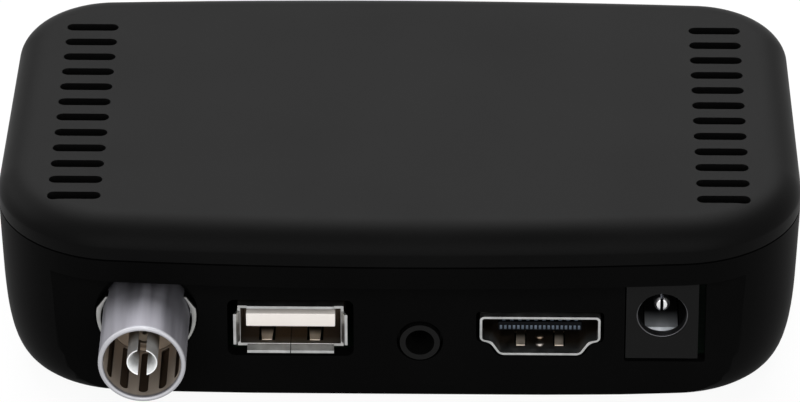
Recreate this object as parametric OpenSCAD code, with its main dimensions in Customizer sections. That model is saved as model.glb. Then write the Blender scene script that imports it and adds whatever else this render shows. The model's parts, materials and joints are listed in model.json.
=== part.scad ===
// Terrestrial television receiver: a small set-top box with a row of sockets along its rear.
// Millimetres. +X is to the right when facing the sockets, +Y points from the sockets to the
// display, +Z is up. The origin lies on the standing surface, under the middle of the whole box.

/* [Case] */
// Overall width of the case
case_w = 100.4; // [96:0.2:112]
// Depth of the case over its bowed ends
case_d = 62.5; // [60:0.5:72]
// Height of the case without its feet
case_h = 25.65; // [24.7:0.05:30]
// Radius in plan of the two corners beside the sockets
corner_r = 16; // [12:0.5:20]
// Radius in plan of the two corners beside the display
front_corner_r = 12; // [9:0.5:20]
// Radius of the bow of the socket end
bow_r = 480; // [300:10:1200]
// Radius of the bow of the display end
front_bow_r = 800; // [300:10:1200]
// How far each side draws in towards the display
front_in = 0.6; // [0:0.1:1.5]
// Wall, floor and panel thickness
wall = 1.8; // [1.5:0.1:2.2]
// How far the socket panel and the display face lie behind the ends of the case
recess = 4.1; // [3:0.1:5]
// Height of the rim left above the two recesses
rim_h = 3; // [2.6:0.1:4]
// Thickness of the shelf over each recess
shelf_t = 1.2; // [0.8:0.1:1.4]

/* [Seam and edges] */
// Height of the seam above the underside
seam_h = 20.85; // [20:0.05:22]
// Shadow gap at the seam
seam_gap = 0.35; // [0.2:0.05:0.5]
// Width of the soft roll round the top
roll_run = 4.6; // [3:0.1:6]
// Drop of that roll
roll_drop = 3.1; // [2:0.1:4]
// Angle at which the roll leaves the skirt, in degrees
roll_start = 10; // [5:1:40]
// Draft of the sides of the base, in degrees
side_draft = 2.2; // [1:0.1:4]
// Reach of the round bottom edge inwards
hull_in = 3.75; // [2.5:0.05:6]
// Reach of that edge upwards
hull_up = 13.65; // [9:0.05:16]
// Squareness of that edge: 2 is an ellipse, and more is squarer
hull_power = 3; // [2:0.1:4]
// Depth of the lip that centres the cover in the base
lip_h = 1.1; // [0.6:0.1:1.2]
// Thickness of that lip
lip_t = 1; // [0.8:0.1:1.4]
// Clearance round that lip
lip_clear = 0.3; // [0.2:0.05:0.5]

/* [Vents] */
// Slots in each row
vent_count = 12; // [4:1:12]
// Spacing of the slots
vent_pitch = 3.87; // [3.2:0.01:4]
// Length of a slot
vent_len = 6.67; // [4:0.1:7]
// Width of a slot
vent_w = 1.75; // [1:0.05:2.2]
// Distance of a slot's inner end from the middle of the case
vent_x = 36.9; // [34:0.1:37.5]
// How far the rows sit towards the sockets
vent_shift = 0.8; // [0:0.1:2]

/* [Feet and screws] */
// Radius of a rubber foot
foot_r = 4.5; // [3:0.1:5]
// How far a foot stands proud of the underside
foot_proud = 0.85; // [0.6:0.05:2]
// Depth of the foot's seat
foot_seat = 0.6; // [0.4:0.1:1]
// Feet: distance from the middle, across
foot_x = 33; // [28:0.5:34]
// Feet: distance from the middle, along
foot_y = 14; // [12:0.5:15]
// Radius of the screw shank
screw_r = 1.3; // [1:0.05:1.5]
// Radius of the screw head
screw_head_r = 2.4; // [2:0.1:2.6]
// Height of the screw head
screw_head_h = 1.5; // [1:0.1:1.7]
// Length of the screw under its head
screw_len = 12; // [9:0.5:15]
// Front screws: distance from the middle, across
screw_front_x = 30; // [27:0.5:31]
// Gap between the screening can and the front screws' pillars
screw_can_gap = 2.25; // [0.5:0.05:3]
// Rear screws: distance from the middle, across
screw_rear_x = 19.5; // [19:0.1:19.6]
// Gap between the data port and the rear screws' pillars
screw_port_gap = 1.65; // [0.5:0.05:3]
// Radius of the pillars and bosses round the screws
pillar_r = 3.5; // [3.1:0.1:3.7]
// Clearance of the screws in their holes
screw_clear = 0.2; // [0.1:0.05:0.3]

/* [Board] */
// Thickness of the circuit board
board_t = 1.6; // [1:0.1:2]
// Height of the pillars that carry the board
standoff_h = 2.15; // [1.5:0.05:3]
// Gap between the board and the front and rear walls
board_clear = 0.3; // [0.2:0.1:0.6]
// Gap between the board and the side walls
board_margin = 0.6; // [0.3:0.1:2]

/* [Antenna socket] */
// Place across the panel
antenna_x = -31.3; // [-33:0.1:-30]
// Height of its axis above the board
antenna_axis = 5.9; // [5.5:0.1:6.4]
// How far the tube stands out of the panel
antenna_reach = 11.7; // [8:0.1:14]
// Outside radius of the tube
antenna_r = 5.4; // [5.2:0.05:5.5]
// Wall of the tube
antenna_wall = 0.6; // [0.4:0.05:0.8]
// Outside radius of the flange
flange_r = 6.25; // [6:0.05:6.3]
// Thickness of the flange's rim
flange_rim = 0.45; // [0.3:0.05:0.6]
// How far that ring stands out of the panel
flange_out = 1.7; // [0.3:0.1:2]
// Outside radius of the split centre contact
contact_r = 1.9; // [1.7:0.05:2.1]
// Bore radius of the centre contact
contact_bore = 1.25; // [1.15:0.05:1.3]
// Width of the contact's two slits
contact_slit = 0.8; // [0.4:0.1:0.9]
// How far the contact's end lies inside the mouth
contact_inset = 0.5; // [0.2:0.1:2]
// Radius of the contact's tail
tail_r = 1; // [0.6:0.1:1.1]
// Depth of the tail's end behind the panel's face
tail_y = 6; // [4:0.1:8]
// Length of solid metal between the contact's bore and the insulator
contact_root = 2.2; // [1:0.1:3]
// How far the insulator stands out of the panel
insulator_out = 1; // [0.5:0.1:2]
// Length of the insulator
insulator_len = 2.8; // [2:0.1:3.3]
// Gap between the flange and its hole in the panel
antenna_gap = 0.2; // [0.1:0.05:0.3]
// Gap between the panel and the screening can
can_gap = 0.6; // [0.3:0.1:1]
// Width of the screening can
can_w = 14; // [13:0.1:14.6]
// Length of the screening can
can_l = 22; // [18:0.5:24]
// Height of the screening can
can_h = 12; // [11.4:0.1:15]
// Sheet thickness of the screening can
can_t = 0.5; // [0.3:0.1:0.8]
// Side of the tuner chip
tuner_chip_w = 6; // [4:0.5:8]
// Height of the tuner chip
tuner_chip_h = 1; // [0.8:0.1:1.6]

/* [Data port] */
// Place across the panel
data_x = -13.4; // [-13.8:0.1:-12.5]
// Height of its axis above the board
data_axis = 4.1; // [3.8:0.1:5]
// Width of the opening
data_w = 12.5; // [12.3:0.05:12.7]
// Height of the opening
data_h = 5.12; // [5:0.02:5.3]
// Length of the shell
data_len = 13.5; // [12.5:0.1:14]
// Sheet thickness of the port shells
sheet_t = 0.35; // [0.25:0.05:0.4]
// How far the four flaps of the mouth flare
data_flare = 0.5; // [0.3:0.05:0.7]
// How much shorter the wide flaps are than the opening, at each end
data_flap_short = 0.85; // [0.4:0.05:1.2]
// Width of the tongue
data_tongue_w = 11.1; // [10.5:0.1:11.5]
// Thickness of the tongue
data_tongue_t = 1.84; // [1.6:0.02:2]
// Height of the tongue above the middle of the opening
data_tongue_up = 0.75; // [0.6:0.05:1.1]
// Depth of the tongue's end behind the panel's face
data_tongue_y = 0.6; // [0.4:0.1:1]
// Depth of the block that carries the tongue
data_block_y = 9; // [8:0.1:10]
// Gap between the flared mouth and its hole in the panel
data_gap = 0.75; // [0.5:0.05:1]
// Corner radius of that hole
data_hole_r = 0.9; // [0.5:0.1:1.2]
// How far the mouths of the data and video ports stand out of the panel
mouth_out = 0.45; // [0.2:0.05:0.8]
// Length of the flared flaps
flare_len = 0.95; // [0.8:0.05:1.2]
// Width of a contact strip
data_contact_w = 1; // [0.8:0.1:1.2]
// Thickness of a contact strip
data_contact_t = 0.25; // [0.15:0.05:0.3]
// Depth of the bow in a strip
data_contact_bow = 0.45; // [0.3:0.05:0.6]
// Length of a third of that bow
data_contact_run = 1.5; // [1:0.1:2]
// Distance of the inner strips from the middle
data_contact_in = 1; // [0.8:0.1:1.2]
// Distance of the outer strips from the middle
data_contact_out = 3.5; // [3.2:0.1:3.8]
// Distance of the two springs from the middle
data_spring_x = 3; // [2.5:0.1:3.5]
// Length of a spring's blade
data_spring_len = 2.8; // [2.4:0.1:3.4]
// Length of its bent tip
data_spring_tip = 0.7; // [0.5:0.1:1]
// Width of a spring at its root
data_spring_root = 1.25; // [1:0.05:1.6]
// Width of a spring at its end
data_spring_end = 1.65; // [1.2:0.05:2]

/* [Audio and video jack] */
// Place across the panel
av_x = 2.7; // [1:0.1:4]
// Height of its axis above the board
av_axis = 2.3; // [2.2:0.1:2.6]
// Radius of the nose
av_nose_r = 2.5; // [2.4:0.05:2.8]
// Bore radius
av_bore = 1.8; // [1.75:0.01:1.85]
// Length of the bore's wall
av_bore_len = 4; // [3.5:0.1:5]
// How far the nose stands out of the panel
av_out = 0.35; // [0.1:0.05:0.6]
// Gap between the nose and its hole in the panel
av_gap = 0.38; // [0.3:0.02:0.5]
// Width of the body
av_w = 6.4; // [6.2:0.1:7]
// Length of the body
av_l = 12; // [11:0.1:13]
// Height of the body
av_h = 4.8; // [4.7:0.1:5.4]
// Radius of the chamber behind the bore
av_chamber = 2; // [1.9:0.05:2.1]
// Thickness of a contact leaf
av_leaf_t = 0.25; // [0.2:0.05:0.3]
// Width of a contact leaf
av_leaf_w = 1.5; // [1:0.1:2]
// Angle at which a leaf leans in, in degrees
av_leaf_angle = 5; // [3:0.5:6]
// Length of the tip's leaf
av_tip_len = 6; // [5:0.1:6.4]
// Length of the ring's leaf
av_ring_len = 4.5; // [4:0.1:5]
// Distance of the leaves' roots from the back of the body
av_root_y = 0.8; // [0.6:0.1:1]
// Wall of the body before and behind the leaves
av_slot_y = 1.4; // [1.2:0.1:1.6]

/* [Video port] */
// Place across the panel
video_x = 17.65; // [17:0.05:18]
// Height of its axis above the board
video_axis = 3.4; // [3.3:0.1:4]
// Width of the shell
video_w = 15; // [14.6:0.1:15.2]
// Height of the shell
video_h = 5.55; // [5.4:0.05:5.8]
// Height of its upright sides
video_side = 3.5; // [3.2:0.05:3.8]
// Width of its foot
video_foot = 10.1; // [9:0.1:11]
// Width of the step at each side of the shell
video_step = 1.3; // [1:0.1:1.6]
// Drop along that step
video_step_drop = 0.3; // [0:0.05:0.5]
// Length of the shell
video_len = 11.4; // [10.5:0.1:12]
// Width of the tongue
video_tongue_w = 10.4; // [10:0.1:11]
// Thickness of the tongue
video_tongue_t = 1.2; // [1:0.05:1.4]
// Height of the tongue above the middle of the shell
video_tongue_up = 0.45; // [0.3:0.05:0.6]
// Depth of the tongue's end behind the panel's face
video_tongue_y = 1.2; // [0.8:0.1:1.6]
// Depth of the block that carries the tongue
video_block_y = 8; // [7:0.1:9]
// Gap between the shell and its hole in the panel
video_gap = 0.45; // [0.3:0.05:0.6]
// Contact strips over the tongue, with one less under it
video_contacts = 10; // [8:1:10]
// Spacing of the contact strips
video_contact_pitch = 1; // [0.9:0.02:1.04]
// Width of a contact strip
video_contact_w = 0.45; // [0.3:0.05:0.6]
// Thickness of a contact strip
video_contact_t = 0.15; // [0.1:0.05:0.25]
// Distance of the two springs from the middle
video_spring_x = 2.4; // [2:0.1:3]
// Length of a spring's blade
video_spring_len = 2.4; // [2:0.1:3]
// Length of its bent tip
video_spring_tip = 0.6; // [0.4:0.1:0.8]
// Width of a spring
video_spring_w = 1.1; // [0.8:0.1:1.6]

/* [Port springs] */
// Sheet thickness of the springs of both ports
spring_t = 0.28; // [0.2:0.02:0.34]
// Depth of the springs' roots behind the panel's face
spring_root_y = 1.6; // [1.4:0.1:2]
// Angle at which the springs rise, in degrees
spring_angle = 14; // [10:1:16]
// Angle at which their tips bend back, in degrees
tip_angle = 42; // [30:1:50]
// Clearance round the springs
spring_gap = 0.2; // [0.15:0.05:0.3]

/* [Power jack] */
// Place across the panel
power_x = 32.8; // [32:0.1:33.2]
// Width of the face
power_w = 9; // [8.6:0.1:9.4]
// Height of the face
power_h = 11; // [10.6:0.1:11.4]
// Length of the body
power_len = 14.2; // [13.6:0.1:15]
// Height of the hole's axis above the board
power_axis = 6.2; // [6:0.1:6.6]
// Radius of the hole
power_bore = 3.18; // [3.1:0.02:3.3]
// Depth of the hole
power_depth = 9.5; // [9:0.1:10]
// Radius of the centre pin
power_pin_r = 1; // [0.9:0.05:1.25]
// How far the pin's end lies inside the face
power_pin_inset = 2.6; // [1:0.1:3]
// How much thinner the pin's tail is
power_pin_step = 0.2; // [0.1:0.05:0.3]
// Gap between the face and the left side and top of its hole in the panel
power_gap = 0.15; // [0.1:0.05:0.4]
// Gap at the right side
power_gap_right = 0.9; // [0.5:0.05:1.2]
// Gap under the face
power_gap_down = 0.45; // [0.2:0.05:0.6]
// Width of the leaf spring
power_spring_w = 4.1; // [3.5:0.1:4.3]
// Thickness of the leaf spring
power_leaf_t = 0.35; // [0.3:0.01:0.4]
// Length of its blade
power_leaf_len = 8.4; // [8:0.1:8.8]
// Length of its bent tip
power_leaf_tip = 0.9; // [0.6:0.1:1]
// Depth of its root behind the panel's face
power_root_y = 10.6; // [10.2:0.1:11]
// Distance of its root below the hole
power_root_drop = 0.75; // [0.7:0.05:0.9]
// Angle at which it rises into the hole, in degrees
power_leaf_angle = 5.5; // [4.5:0.5:6]

/* [Front] */
// Middle of the window, across
lens_x = 9; // [7:0.5:10]
// Width of the window
lens_w = 54; // [50:0.5:56]
// Height of the window
lens_h = 10.4; // [9.5:0.1:10.8]
// Thickness of the window
lens_t = 2; // [1.5:0.1:2.2]
// Corner radius of the window
lens_r = 2; // [1:0.1:3]
// Height of the window's middle above the board
lens_axis = 5.8; // [5.6:0.1:6.2]
// Clearance round the window
lens_clear = 0.15; // [0.1:0.05:0.25]
// Width of the display
display_w = 30; // [28.5:0.5:34]
// Depth of the display
display_l = 6; // [4:0.5:8]
// Height of the display
display_h = 11; // [10.5:0.1:11.6]
// Gap behind the front wall and behind the window
display_gap = 0.3; // [0.2:0.05:0.5]
// Height of a digit
digit_h = 7; // [5:0.1:8]
// Spacing of the digits
digit_pitch = 7; // [6:0.1:7.2]
// Stroke of a digit
digit_stroke = 0.8; // [0.5:0.1:1]
// How far a digit stands out of the display
digit_t = 0.15; // [0.1:0.05:0.3]
// Infrared receiver: distance from the middle of the window
eye_shift = 22; // [20:0.5:23]
// Radius of the infrared receiver's dome
eye_r = 1.9; // [1.5:0.1:2.2]
// Standby lamp: distance from the middle of the window
lamp_shift = 21; // [20:0.5:23]
// Radius of the standby lamp
lamp_r = 1.5; // [1:0.1:1.6]

/* [Keys] */
// Width of a key
key_w = 4.6; // [4:0.1:4.8]
// Height of a key
key_h = 3.2; // [2.6:0.1:4]
// Corner radius of a key
key_r = 0.8; // [0.4:0.1:1.2]
// How far a key stands out of the front face
key_proud = 0.9; // [0.7:0.1:1.5]
// Travel of a key
key_travel = 0.5; // [0.3:0.1:0.6]
// Clearance round a key
key_clear = 0.2; // [0.15:0.05:0.3]
// Spacing of the keys
key_pitch = 6.5; // [6.3:0.1:6.7]
// Place of the first key, across
key_x = -23.5; // [-24.5:0.1:-23]
// Height of the keys above the board
key_axis = 3.5; // [3.2:0.1:4]
// Rim behind a key that keeps it in its hole
key_flange = 0.8; // [0.5:0.1:1]
// Gap left between a pressed key and its switch
switch_gap = 0.5; // [0.3:0.1:0.8]
// Depth of a switch
switch_len = 4; // [3:0.1:5]
// Radius of a switch plunger
plunger_r = 1.2; // [0.8:0.1:1.5]
// How far a plunger reaches into its switch
plunger_in = 1.2; // [1:0.1:1.6]
// Clearance round a plunger
plunger_clear = 0.08; // [0.05:0.01:0.15]

/* [Electronics] */
// Side of the main chip
chip_w = 14; // [12:0.5:16]
// Height of the main chip
chip_h = 1.4; // [1:0.1:2]
// Side of the heat sink
sink_w = 20; // [16:0.5:22]
// Height of the heat sink
sink_h = 9; // [6:0.5:12]
// Fins of the heat sink
sink_fins = 7; // [5:1:9]
// Gap between the heat sink and the display
sink_gap = 2.5; // [1:0.1:4]
// Thickness of the heat sink's plate
sink_plate = 2; // [1.5:0.1:3]
// Thickness of a fin
sink_fin = 1; // [0.6:0.1:1.4]
// Width of the memory chip
memory_w = 8; // [6:0.5:10]
// Length of the memory chip
memory_l = 12; // [10:0.5:14]
// Height of the memory chip
memory_h = 1.2; // [0.8:0.1:1.6]
// Side of the flash chip
flash_w = 5; // [4:0.1:6]
// Height of the flash chip
flash_h = 1.8; // [1.2:0.1:2.2]
// Length of the crystal
crystal_l = 10.5; // [9:0.1:11.5]
// Width of the crystal
crystal_w = 4.4; // [3.6:0.1:5]
// Height of the crystal
crystal_h = 3.4; // [2.5:0.1:4]
// Gap between neighbouring pieces on the board
part_gap = 2; // [1:0.1:2.4]
// Spacing of the regulators
regulator_pitch = 7; // [5:0.1:8]
// Width of a regulator
regulator_w = 3; // [2.5:0.1:4]
// Depth of a regulator
regulator_d = 1.7; // [1.2:0.1:2]
// Height of a regulator
regulator_h = 1.2; // [0.8:0.1:1.6]
// Radius of a capacitor
cap_r = 2.5; // [2:0.1:3]
// Height of a capacitor
cap_h = 8; // [6:0.5:10]
// Side of an inductor
coil_w = 5.5; // [4:0.1:6]
// Height of an inductor
coil_h = 3; // [2:0.1:4]

/* [Hidden] */
$fn = 48;

// Overlap that fuses shapes of one piece, and the extra length of a cut
bite = 0.1;
cut = 1;
// Steps of the faceted outline and of the round edges
bow_steps = 8;
corner_steps = 16;
hull_steps = 10;
roll_steps = 9;

// Plan outline, for the socket end and for the display end: the bow's centre, its half angle, and
// the corner centres
bow_y = bow_r - case_d / 2;
corner_x = case_w / 2 - corner_r;
bow_a = asin(corner_x / (bow_r - corner_r));
corner_y = (bow_r - corner_r) * cos(bow_a) - bow_y;
front_bow_y = front_bow_r - case_d / 2;
front_corner_x = case_w / 2 - front_in - front_corner_r;
front_bow_a = asin(front_corner_x / (front_bow_r - front_corner_r));
front_corner_y = (front_bow_r - front_corner_r) * cos(front_bow_a) - front_bow_y;
// Angle in plan at which the straight sides face, so that they touch the corners at both ends
side_run = [front_corner_x - corner_x, front_corner_y + corner_y];
side_a = atan2(side_run[1], side_run[0]) - acos((corner_r - front_corner_r) / norm(side_run));

// Levels, counted from the standing surface
z_under = foot_proud;
z_seam = z_under + seam_h;
z_lip = z_seam - rim_h;
z_top = z_under + case_h;
z_crease = z_top - roll_drop;
z_floor = z_under + wall;
z_board = z_floor + standoff_h + board_t;

// Distances from the middle of the case
panel_y = case_d / 2 - recess;
front_t = lens_t + wall;
board_rear = panel_y - wall - board_clear;
board_front = panel_y - front_t - board_clear;
// Puts the middle of the whole box, antenna tube included, over the origin
frame_shift = (panel_y + antenna_reach - case_d / 2) / 2;

// Depths from the panel's outer face
can_y = wall + can_gap;
insulator_y = -insulator_out;
mouth_y = -mouth_out;
av_front = wall + board_clear / 2;
av_face = -av_out;

// Seams of the socket panel, across the case
antenna_seam = (antenna_x + flange_r + antenna_gap + data_x - data_span(data_w) / 2 - data_gap) / 2;
data_seam = (data_x + data_span(data_w) / 2 + data_gap + av_x - av_nose_r - av_gap) / 2;
sound_seam = (av_x + av_nose_r + av_gap + video_x - video_w / 2 - video_gap) / 2;

// Screws: the front pair behind the screening can, the rear pair behind the data port
screw_front_y = can_y + can_l + screw_can_gap + pillar_r - panel_y;
screw_rear_y = data_len + screw_port_gap + pillar_r - panel_y;
screw_spots = [[-screw_front_x, screw_front_y], [screw_front_x, screw_front_y],
    [-screw_rear_x, screw_rear_y], [screw_rear_x, screw_rear_y]];
// Middles of the pieces on the board, counted from the display, the sockets and the front screws
display_face = -front_t - display_gap;
chip_y = panel_y + display_face - display_l - sink_gap - sink_w / 2;
memory_spot = [sink_w / 2 + part_gap + memory_w / 2, chip_y + (sink_w - memory_l) / 2];
flash_spot = [-sink_w / 2 - part_gap - flash_w / 2, chip_y];
crystal_spot = [-sink_w / 2 - part_gap - crystal_l / 2, chip_y + (flash_w + part_gap + crystal_w) / 2];
cap_rear_y = power_len + part_gap + cap_r - panel_y;
cap_spots = [[power_x - cap_r - part_gap, cap_rear_y], [power_x + cap_r, cap_rear_y],
    [-screw_front_x - pillar_r - part_gap - cap_r, screw_front_y + part_gap]];
coil_x = screw_front_x + pillar_r + part_gap + coil_w / 2;
coil_spots = [[coil_x, screw_front_y], [coil_x, screw_front_y + coil_w + part_gap / 2]];
regulator_y = av_front + av_l + part_gap + regulator_d / 2 - panel_y;
regulator_spots = [for (x = [-regulator_pitch, 0, regulator_pitch]) [av_x + x, regulator_y]];

// Clearance of a screw in its pilot hole, and of a pressed piece in its seat
pilot_clear = 0.05;
press_gap = 0.05;

// Colours
case_black = [0.04, 0.04, 0.045];
gloss_black = [0.02, 0.02, 0.022];
rubber_grey = [0.12, 0.12, 0.12];
steel = [0.75, 0.75, 0.77];
tin = [0.66, 0.67, 0.68];
gold = [0.83, 0.66, 0.3];
cream = [0.9, 0.87, 0.8];
board_green = [0.05, 0.3, 0.14];
chip_black = [0.09, 0.09, 0.1];
jack_black = [0.07, 0.07, 0.075];

// Points of a corner from one angle to another, and of a bow between the corners at its ends
function arc(centre, r, a0, a1, n, ends) = [for (i = [1 - ends:n - 1 + ends])
    let (a = a0 + (a1 - a0) * i / n) centre + r * [cos(a), sin(a)]];
function corner(centre, r, a0, a1) = arc(centre, r, a0, a1, corner_steps, 1);
function bow(centre, r, a0, a1) = arc(centre, r, a0, a1, bow_steps, 0);

// Plan outline of the case, drawn in by an inset: two bowed ends, straight sides, round corners
function outline(inset) = let (rear_r = corner_r - inset, front_r = front_corner_r - inset) concat(
    bow([0, bow_y], bow_r - inset, -90 - bow_a, -90 + bow_a),
    corner([corner_x, -corner_y], rear_r, -90 + bow_a, side_a),
    corner([front_corner_x, front_corner_y], front_r, side_a, 90 - front_bow_a),
    bow([0, -front_bow_y], front_bow_r - inset, 90 - front_bow_a, 90 + front_bow_a),
    corner([-front_corner_x, front_corner_y], front_r, 90 + front_bow_a, 180 - side_a),
    corner([-corner_x, -corner_y], rear_r, 180 - side_a, 270 - bow_a));

// Draft of the base's side at a height above the underside
function draft_at(h) = (seam_h - h) * tan(side_draft);

// Levels of the base, each an inset and a height, for a skin a given depth under the surface
function base_levels(skin, top) = concat(
    [for (i = [0:hull_steps]) let (t = 90 * i / hull_steps, p = 2 / hull_power,
            h = skin + (hull_up - skin) * (1 - pow(cos(t), p)))
        [skin + (hull_in - skin) * (1 - pow(sin(t), p)) + draft_at(h), z_under + h]],
    [[skin, top]]);

// Inset of the inner wall at a height above the underside
function inner_inset(h) = let (below = max(hull_up - h, 0) / (hull_up - wall))
    wall + draft_at(h) + (hull_in - wall) * (1 - pow(1 - pow(below, hull_power), 1 / hull_power));

// Levels of the cover's outer skin: an upright skirt, then an elliptical roll to the flat top
roll_a = roll_run / cos(roll_start);
roll_b = roll_drop / (1 - sin(roll_start));
cover_levels = concat(
    [[0, z_seam + seam_gap]],
    [for (i = [0:roll_steps]) let (t = roll_start + (90 - roll_start) * i / roll_steps)
        [roll_a * (cos(roll_start) - cos(t)), z_crease + roll_b * (sin(t) - sin(roll_start))]]);
cover_inner = [[wall, z_seam - cut], [wall, z_crease - wall / 2], [wall + roll_run, z_top - wall]];

// A skin through outlines at several levels
module loft(levels) {
    n = len(outline(0));
    last = len(levels) - 1;
    points = [for (l = levels) for (p = outline(l[0])) [p[0], p[1], l[1]]];
    under = [for (j = [0:n - 1]) j];
    over = [for (j = [n - 1:-1:0]) last * n + j];
    sides = [for (k = [0:last - 1]) for (j = [0:n - 1]) let (next = (j + 1) % n)
        [k * n + j, (k + 1) * n + j, (k + 1) * n + next, k * n + next]];
    polyhedron(points, concat([under, over], sides));
}

// Frames: the whole part, a socket on the rear panel, a piece on the front face, a piece on the board
module place() { translate([0, frame_shift, 0]) children(); }
module at_socket(x, h) { place() translate([x, -panel_y, z_board + h]) children(); }
module at_front(x, h) { place() translate([x, panel_y, z_board + h]) children(); }
module on_board(x, y) { place() translate([x, y, z_board]) children(); }

// Shapes that repeat
module along_y(y0, y1) { translate([0, y1, 0]) rotate([90, 0, 0]) linear_extrude(y1 - y0) children(); }
module along_x(x0, x1) { translate([x0, 0, 0]) rotate([90, 0, 90]) linear_extrude(x1 - x0) children(); }
module rod(r, y0, y1) { translate([0, y0, 0]) rotate([-90, 0, 0]) cylinder(r = r, h = y1 - y0); }
module block(w, y0, y1, z0, z1) { translate([-w / 2, y0, z0]) cube([w, y1 - y0, z1 - z0]); }
module round_rect(w, h, r) {
    square([w - 2 * r, h], center = true);
    square([w, h - 2 * r], center = true);
    for (x = [-1, 1], y = [-1, 1]) translate([x * (w / 2 - r), y * (h / 2 - r)]) circle(r = r);
}

// A sheet spring: a round root on its axis, a strip that widens or narrows, and a bent tip
module leaf(len, tip, w0, w1, t) {
    rotate([0, 90, 0]) cylinder(r = t / 2, h = w0, center = true);
    translate([0, 0, -t / 2]) linear_extrude(t)
        polygon([[-w0 / 2, 0], [w0 / 2, 0], [w1 / 2, len], [-w1 / 2, len]]);
    translate([0, len, 0]) {
        rotate([0, 90, 0]) cylinder(r = t / 2, h = w1, center = true);
        rotate([-tip_angle, 0, 0]) translate([-w1 / 2, 0, -t / 2]) cube([w1, tip, t]);
    }
}

// Case: base

// Everything between two distances along the case, up to a height
module slab(y0, y1, top) { translate([-case_w, y0, 0]) cube([2 * case_w, y1 - y0, top]); }

// The two open ends of the base, cut upright through the round body up to a height
module open_ends(top) {
    slab(-case_d, wall - panel_y, top);
    slab(panel_y - front_t, case_d, top);
}

// The space inside, which stops short of the shelves over the two open ends
module cavity() {
    difference() {
        loft(base_levels(wall, z_seam + cut));
        open_ends(z_lip + shelf_t);
    }
}

module socket_holes() {
    at_socket(antenna_x, antenna_axis) rod(flange_r + antenna_gap, -cut, wall + cut);
    at_socket(data_x, data_axis) along_y(-cut, wall + cut)
        round_rect(data_span(data_w) + 2 * data_gap, data_span(data_h) + 2 * data_gap, data_hole_r);
    at_socket(av_x, av_axis) rod(av_nose_r + av_gap, -cut, wall + cut);
    at_socket(video_x, video_axis) along_y(-cut, wall + cut) polygon(video_outline(-video_gap));
    at_socket(power_x, 0) translate([-power_w / 2 - power_gap, -cut, -power_gap_down])
        cube([power_w + power_gap + power_gap_right, wall + 2 * cut, power_h + power_gap_down + power_gap]);
}

module front_holes() {
    at_front(lens_x, lens_axis) along_y(-lens_t, cut)
        round_rect(lens_w + 2 * lens_clear, lens_h + 2 * lens_clear, lens_r + lens_clear);
    at_front(lens_x, lens_axis) along_y(-front_t - cut, 0)
        square([4 * digit_pitch, digit_h + 2 * digit_stroke], center = true);
    at_front(lens_x + eye_shift, lens_axis) rod(eye_r + 2 * key_clear, -front_t - cut, 0);
    at_front(lens_x - lamp_shift, lens_axis) rod(lamp_r + key_clear, -front_t - cut, 0);
    for (k = [0:2]) at_front(key_x - k * key_pitch, key_axis) along_y(-front_t - cut, cut)
        round_rect(key_w + 2 * key_clear, key_h + 2 * key_clear, key_r + key_clear);
}

// Floor, sides and front rim of the base, open where the socket panel and the front panel stand
module base_shell() {
    color(case_black) difference() {
        place() union() {
            difference() {
                loft(base_levels(0, z_seam));
                slab(-case_d, wall - panel_y, z_top);
                slab(panel_y - front_t, case_d, z_lip);
                cavity();
            }
            for (s = screw_spots) translate([s[0], s[1], z_floor - bite])
                cylinder(r = pillar_r, h = standoff_h + bite);
        }
        place() for (s = screw_spots) translate([s[0], s[1], z_under]) {
            translate([0, 0, -cut]) cylinder(r = screw_r + screw_clear, h = wall + standoff_h + 2 * cut);
            translate([0, 0, -cut]) cylinder(r = screw_head_r + screw_clear, h = wall + cut);
        }
        place() for (x = [-1, 1], y = [-1, 1]) translate([x * foot_x, y * foot_y, z_under - cut])
            cylinder(r = foot_r + press_gap, h = foot_seat + cut);
    }
}

// The rim over the socket panel, a beam of its own
module panel_rim() {
    color(case_black) place() difference() {
        loft(base_levels(0, z_seam));
        slab(-case_d, case_d, z_lip);
        slab(wall - panel_y, case_d, z_top);
        cavity();
    }
}

// A plate that closes one end of the base, with the outline that the round body has there
module end_plate(y0, y1) {
    place() intersection() {
        loft(base_levels(0, z_seam));
        slab(y0, y1, z_lip);
    }
}

// The socket panel stands in four plates, side by side, so that a collision shape can be made round
// each socket. Each seam lies halfway between two neighbouring holes.
module socket_plate(x0, x1) {
    color(case_black) intersection() {
        difference() {
            end_plate(-panel_y, wall - panel_y);
            socket_holes();
        }
        translate([x0, -case_d, 0]) cube([x1 - x0, 2 * case_d, z_seam]);
    }
}
module antenna_panel() { socket_plate(-case_w, antenna_seam); }
module data_panel() { socket_plate(antenna_seam, data_seam); }
module sound_panel() { socket_plate(data_seam, sound_seam); }
module video_panel() { socket_plate(sound_seam, case_w); }

module front_panel() {
    color(case_black) difference() {
        end_plate(panel_y - front_t, panel_y);
        front_holes();
    }
}

// Case: cover, window, feet and screws

module vent_slots() {
    for (side = [-1, 1], i = [0:vent_count - 1]) {
        x = side * (vent_x + vent_len / 2);
        y = (i - (vent_count - 1) / 2) * vent_pitch - vent_shift;
        translate([x, y, z_top - 2 * wall]) linear_extrude(3 * wall) {
            square([vent_len - vent_w, vent_w], center = true);
            for (end = [-1, 1]) translate([end * (vent_len - vent_w) / 2, 0]) circle(d = vent_w);
        }
    }
}

module ring(outer, inner, z0, z1) {
    translate([0, 0, z0]) linear_extrude(z1 - z0) difference() {
        polygon(outline(outer));
        polygon(outline(inner));
    }
}

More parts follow.
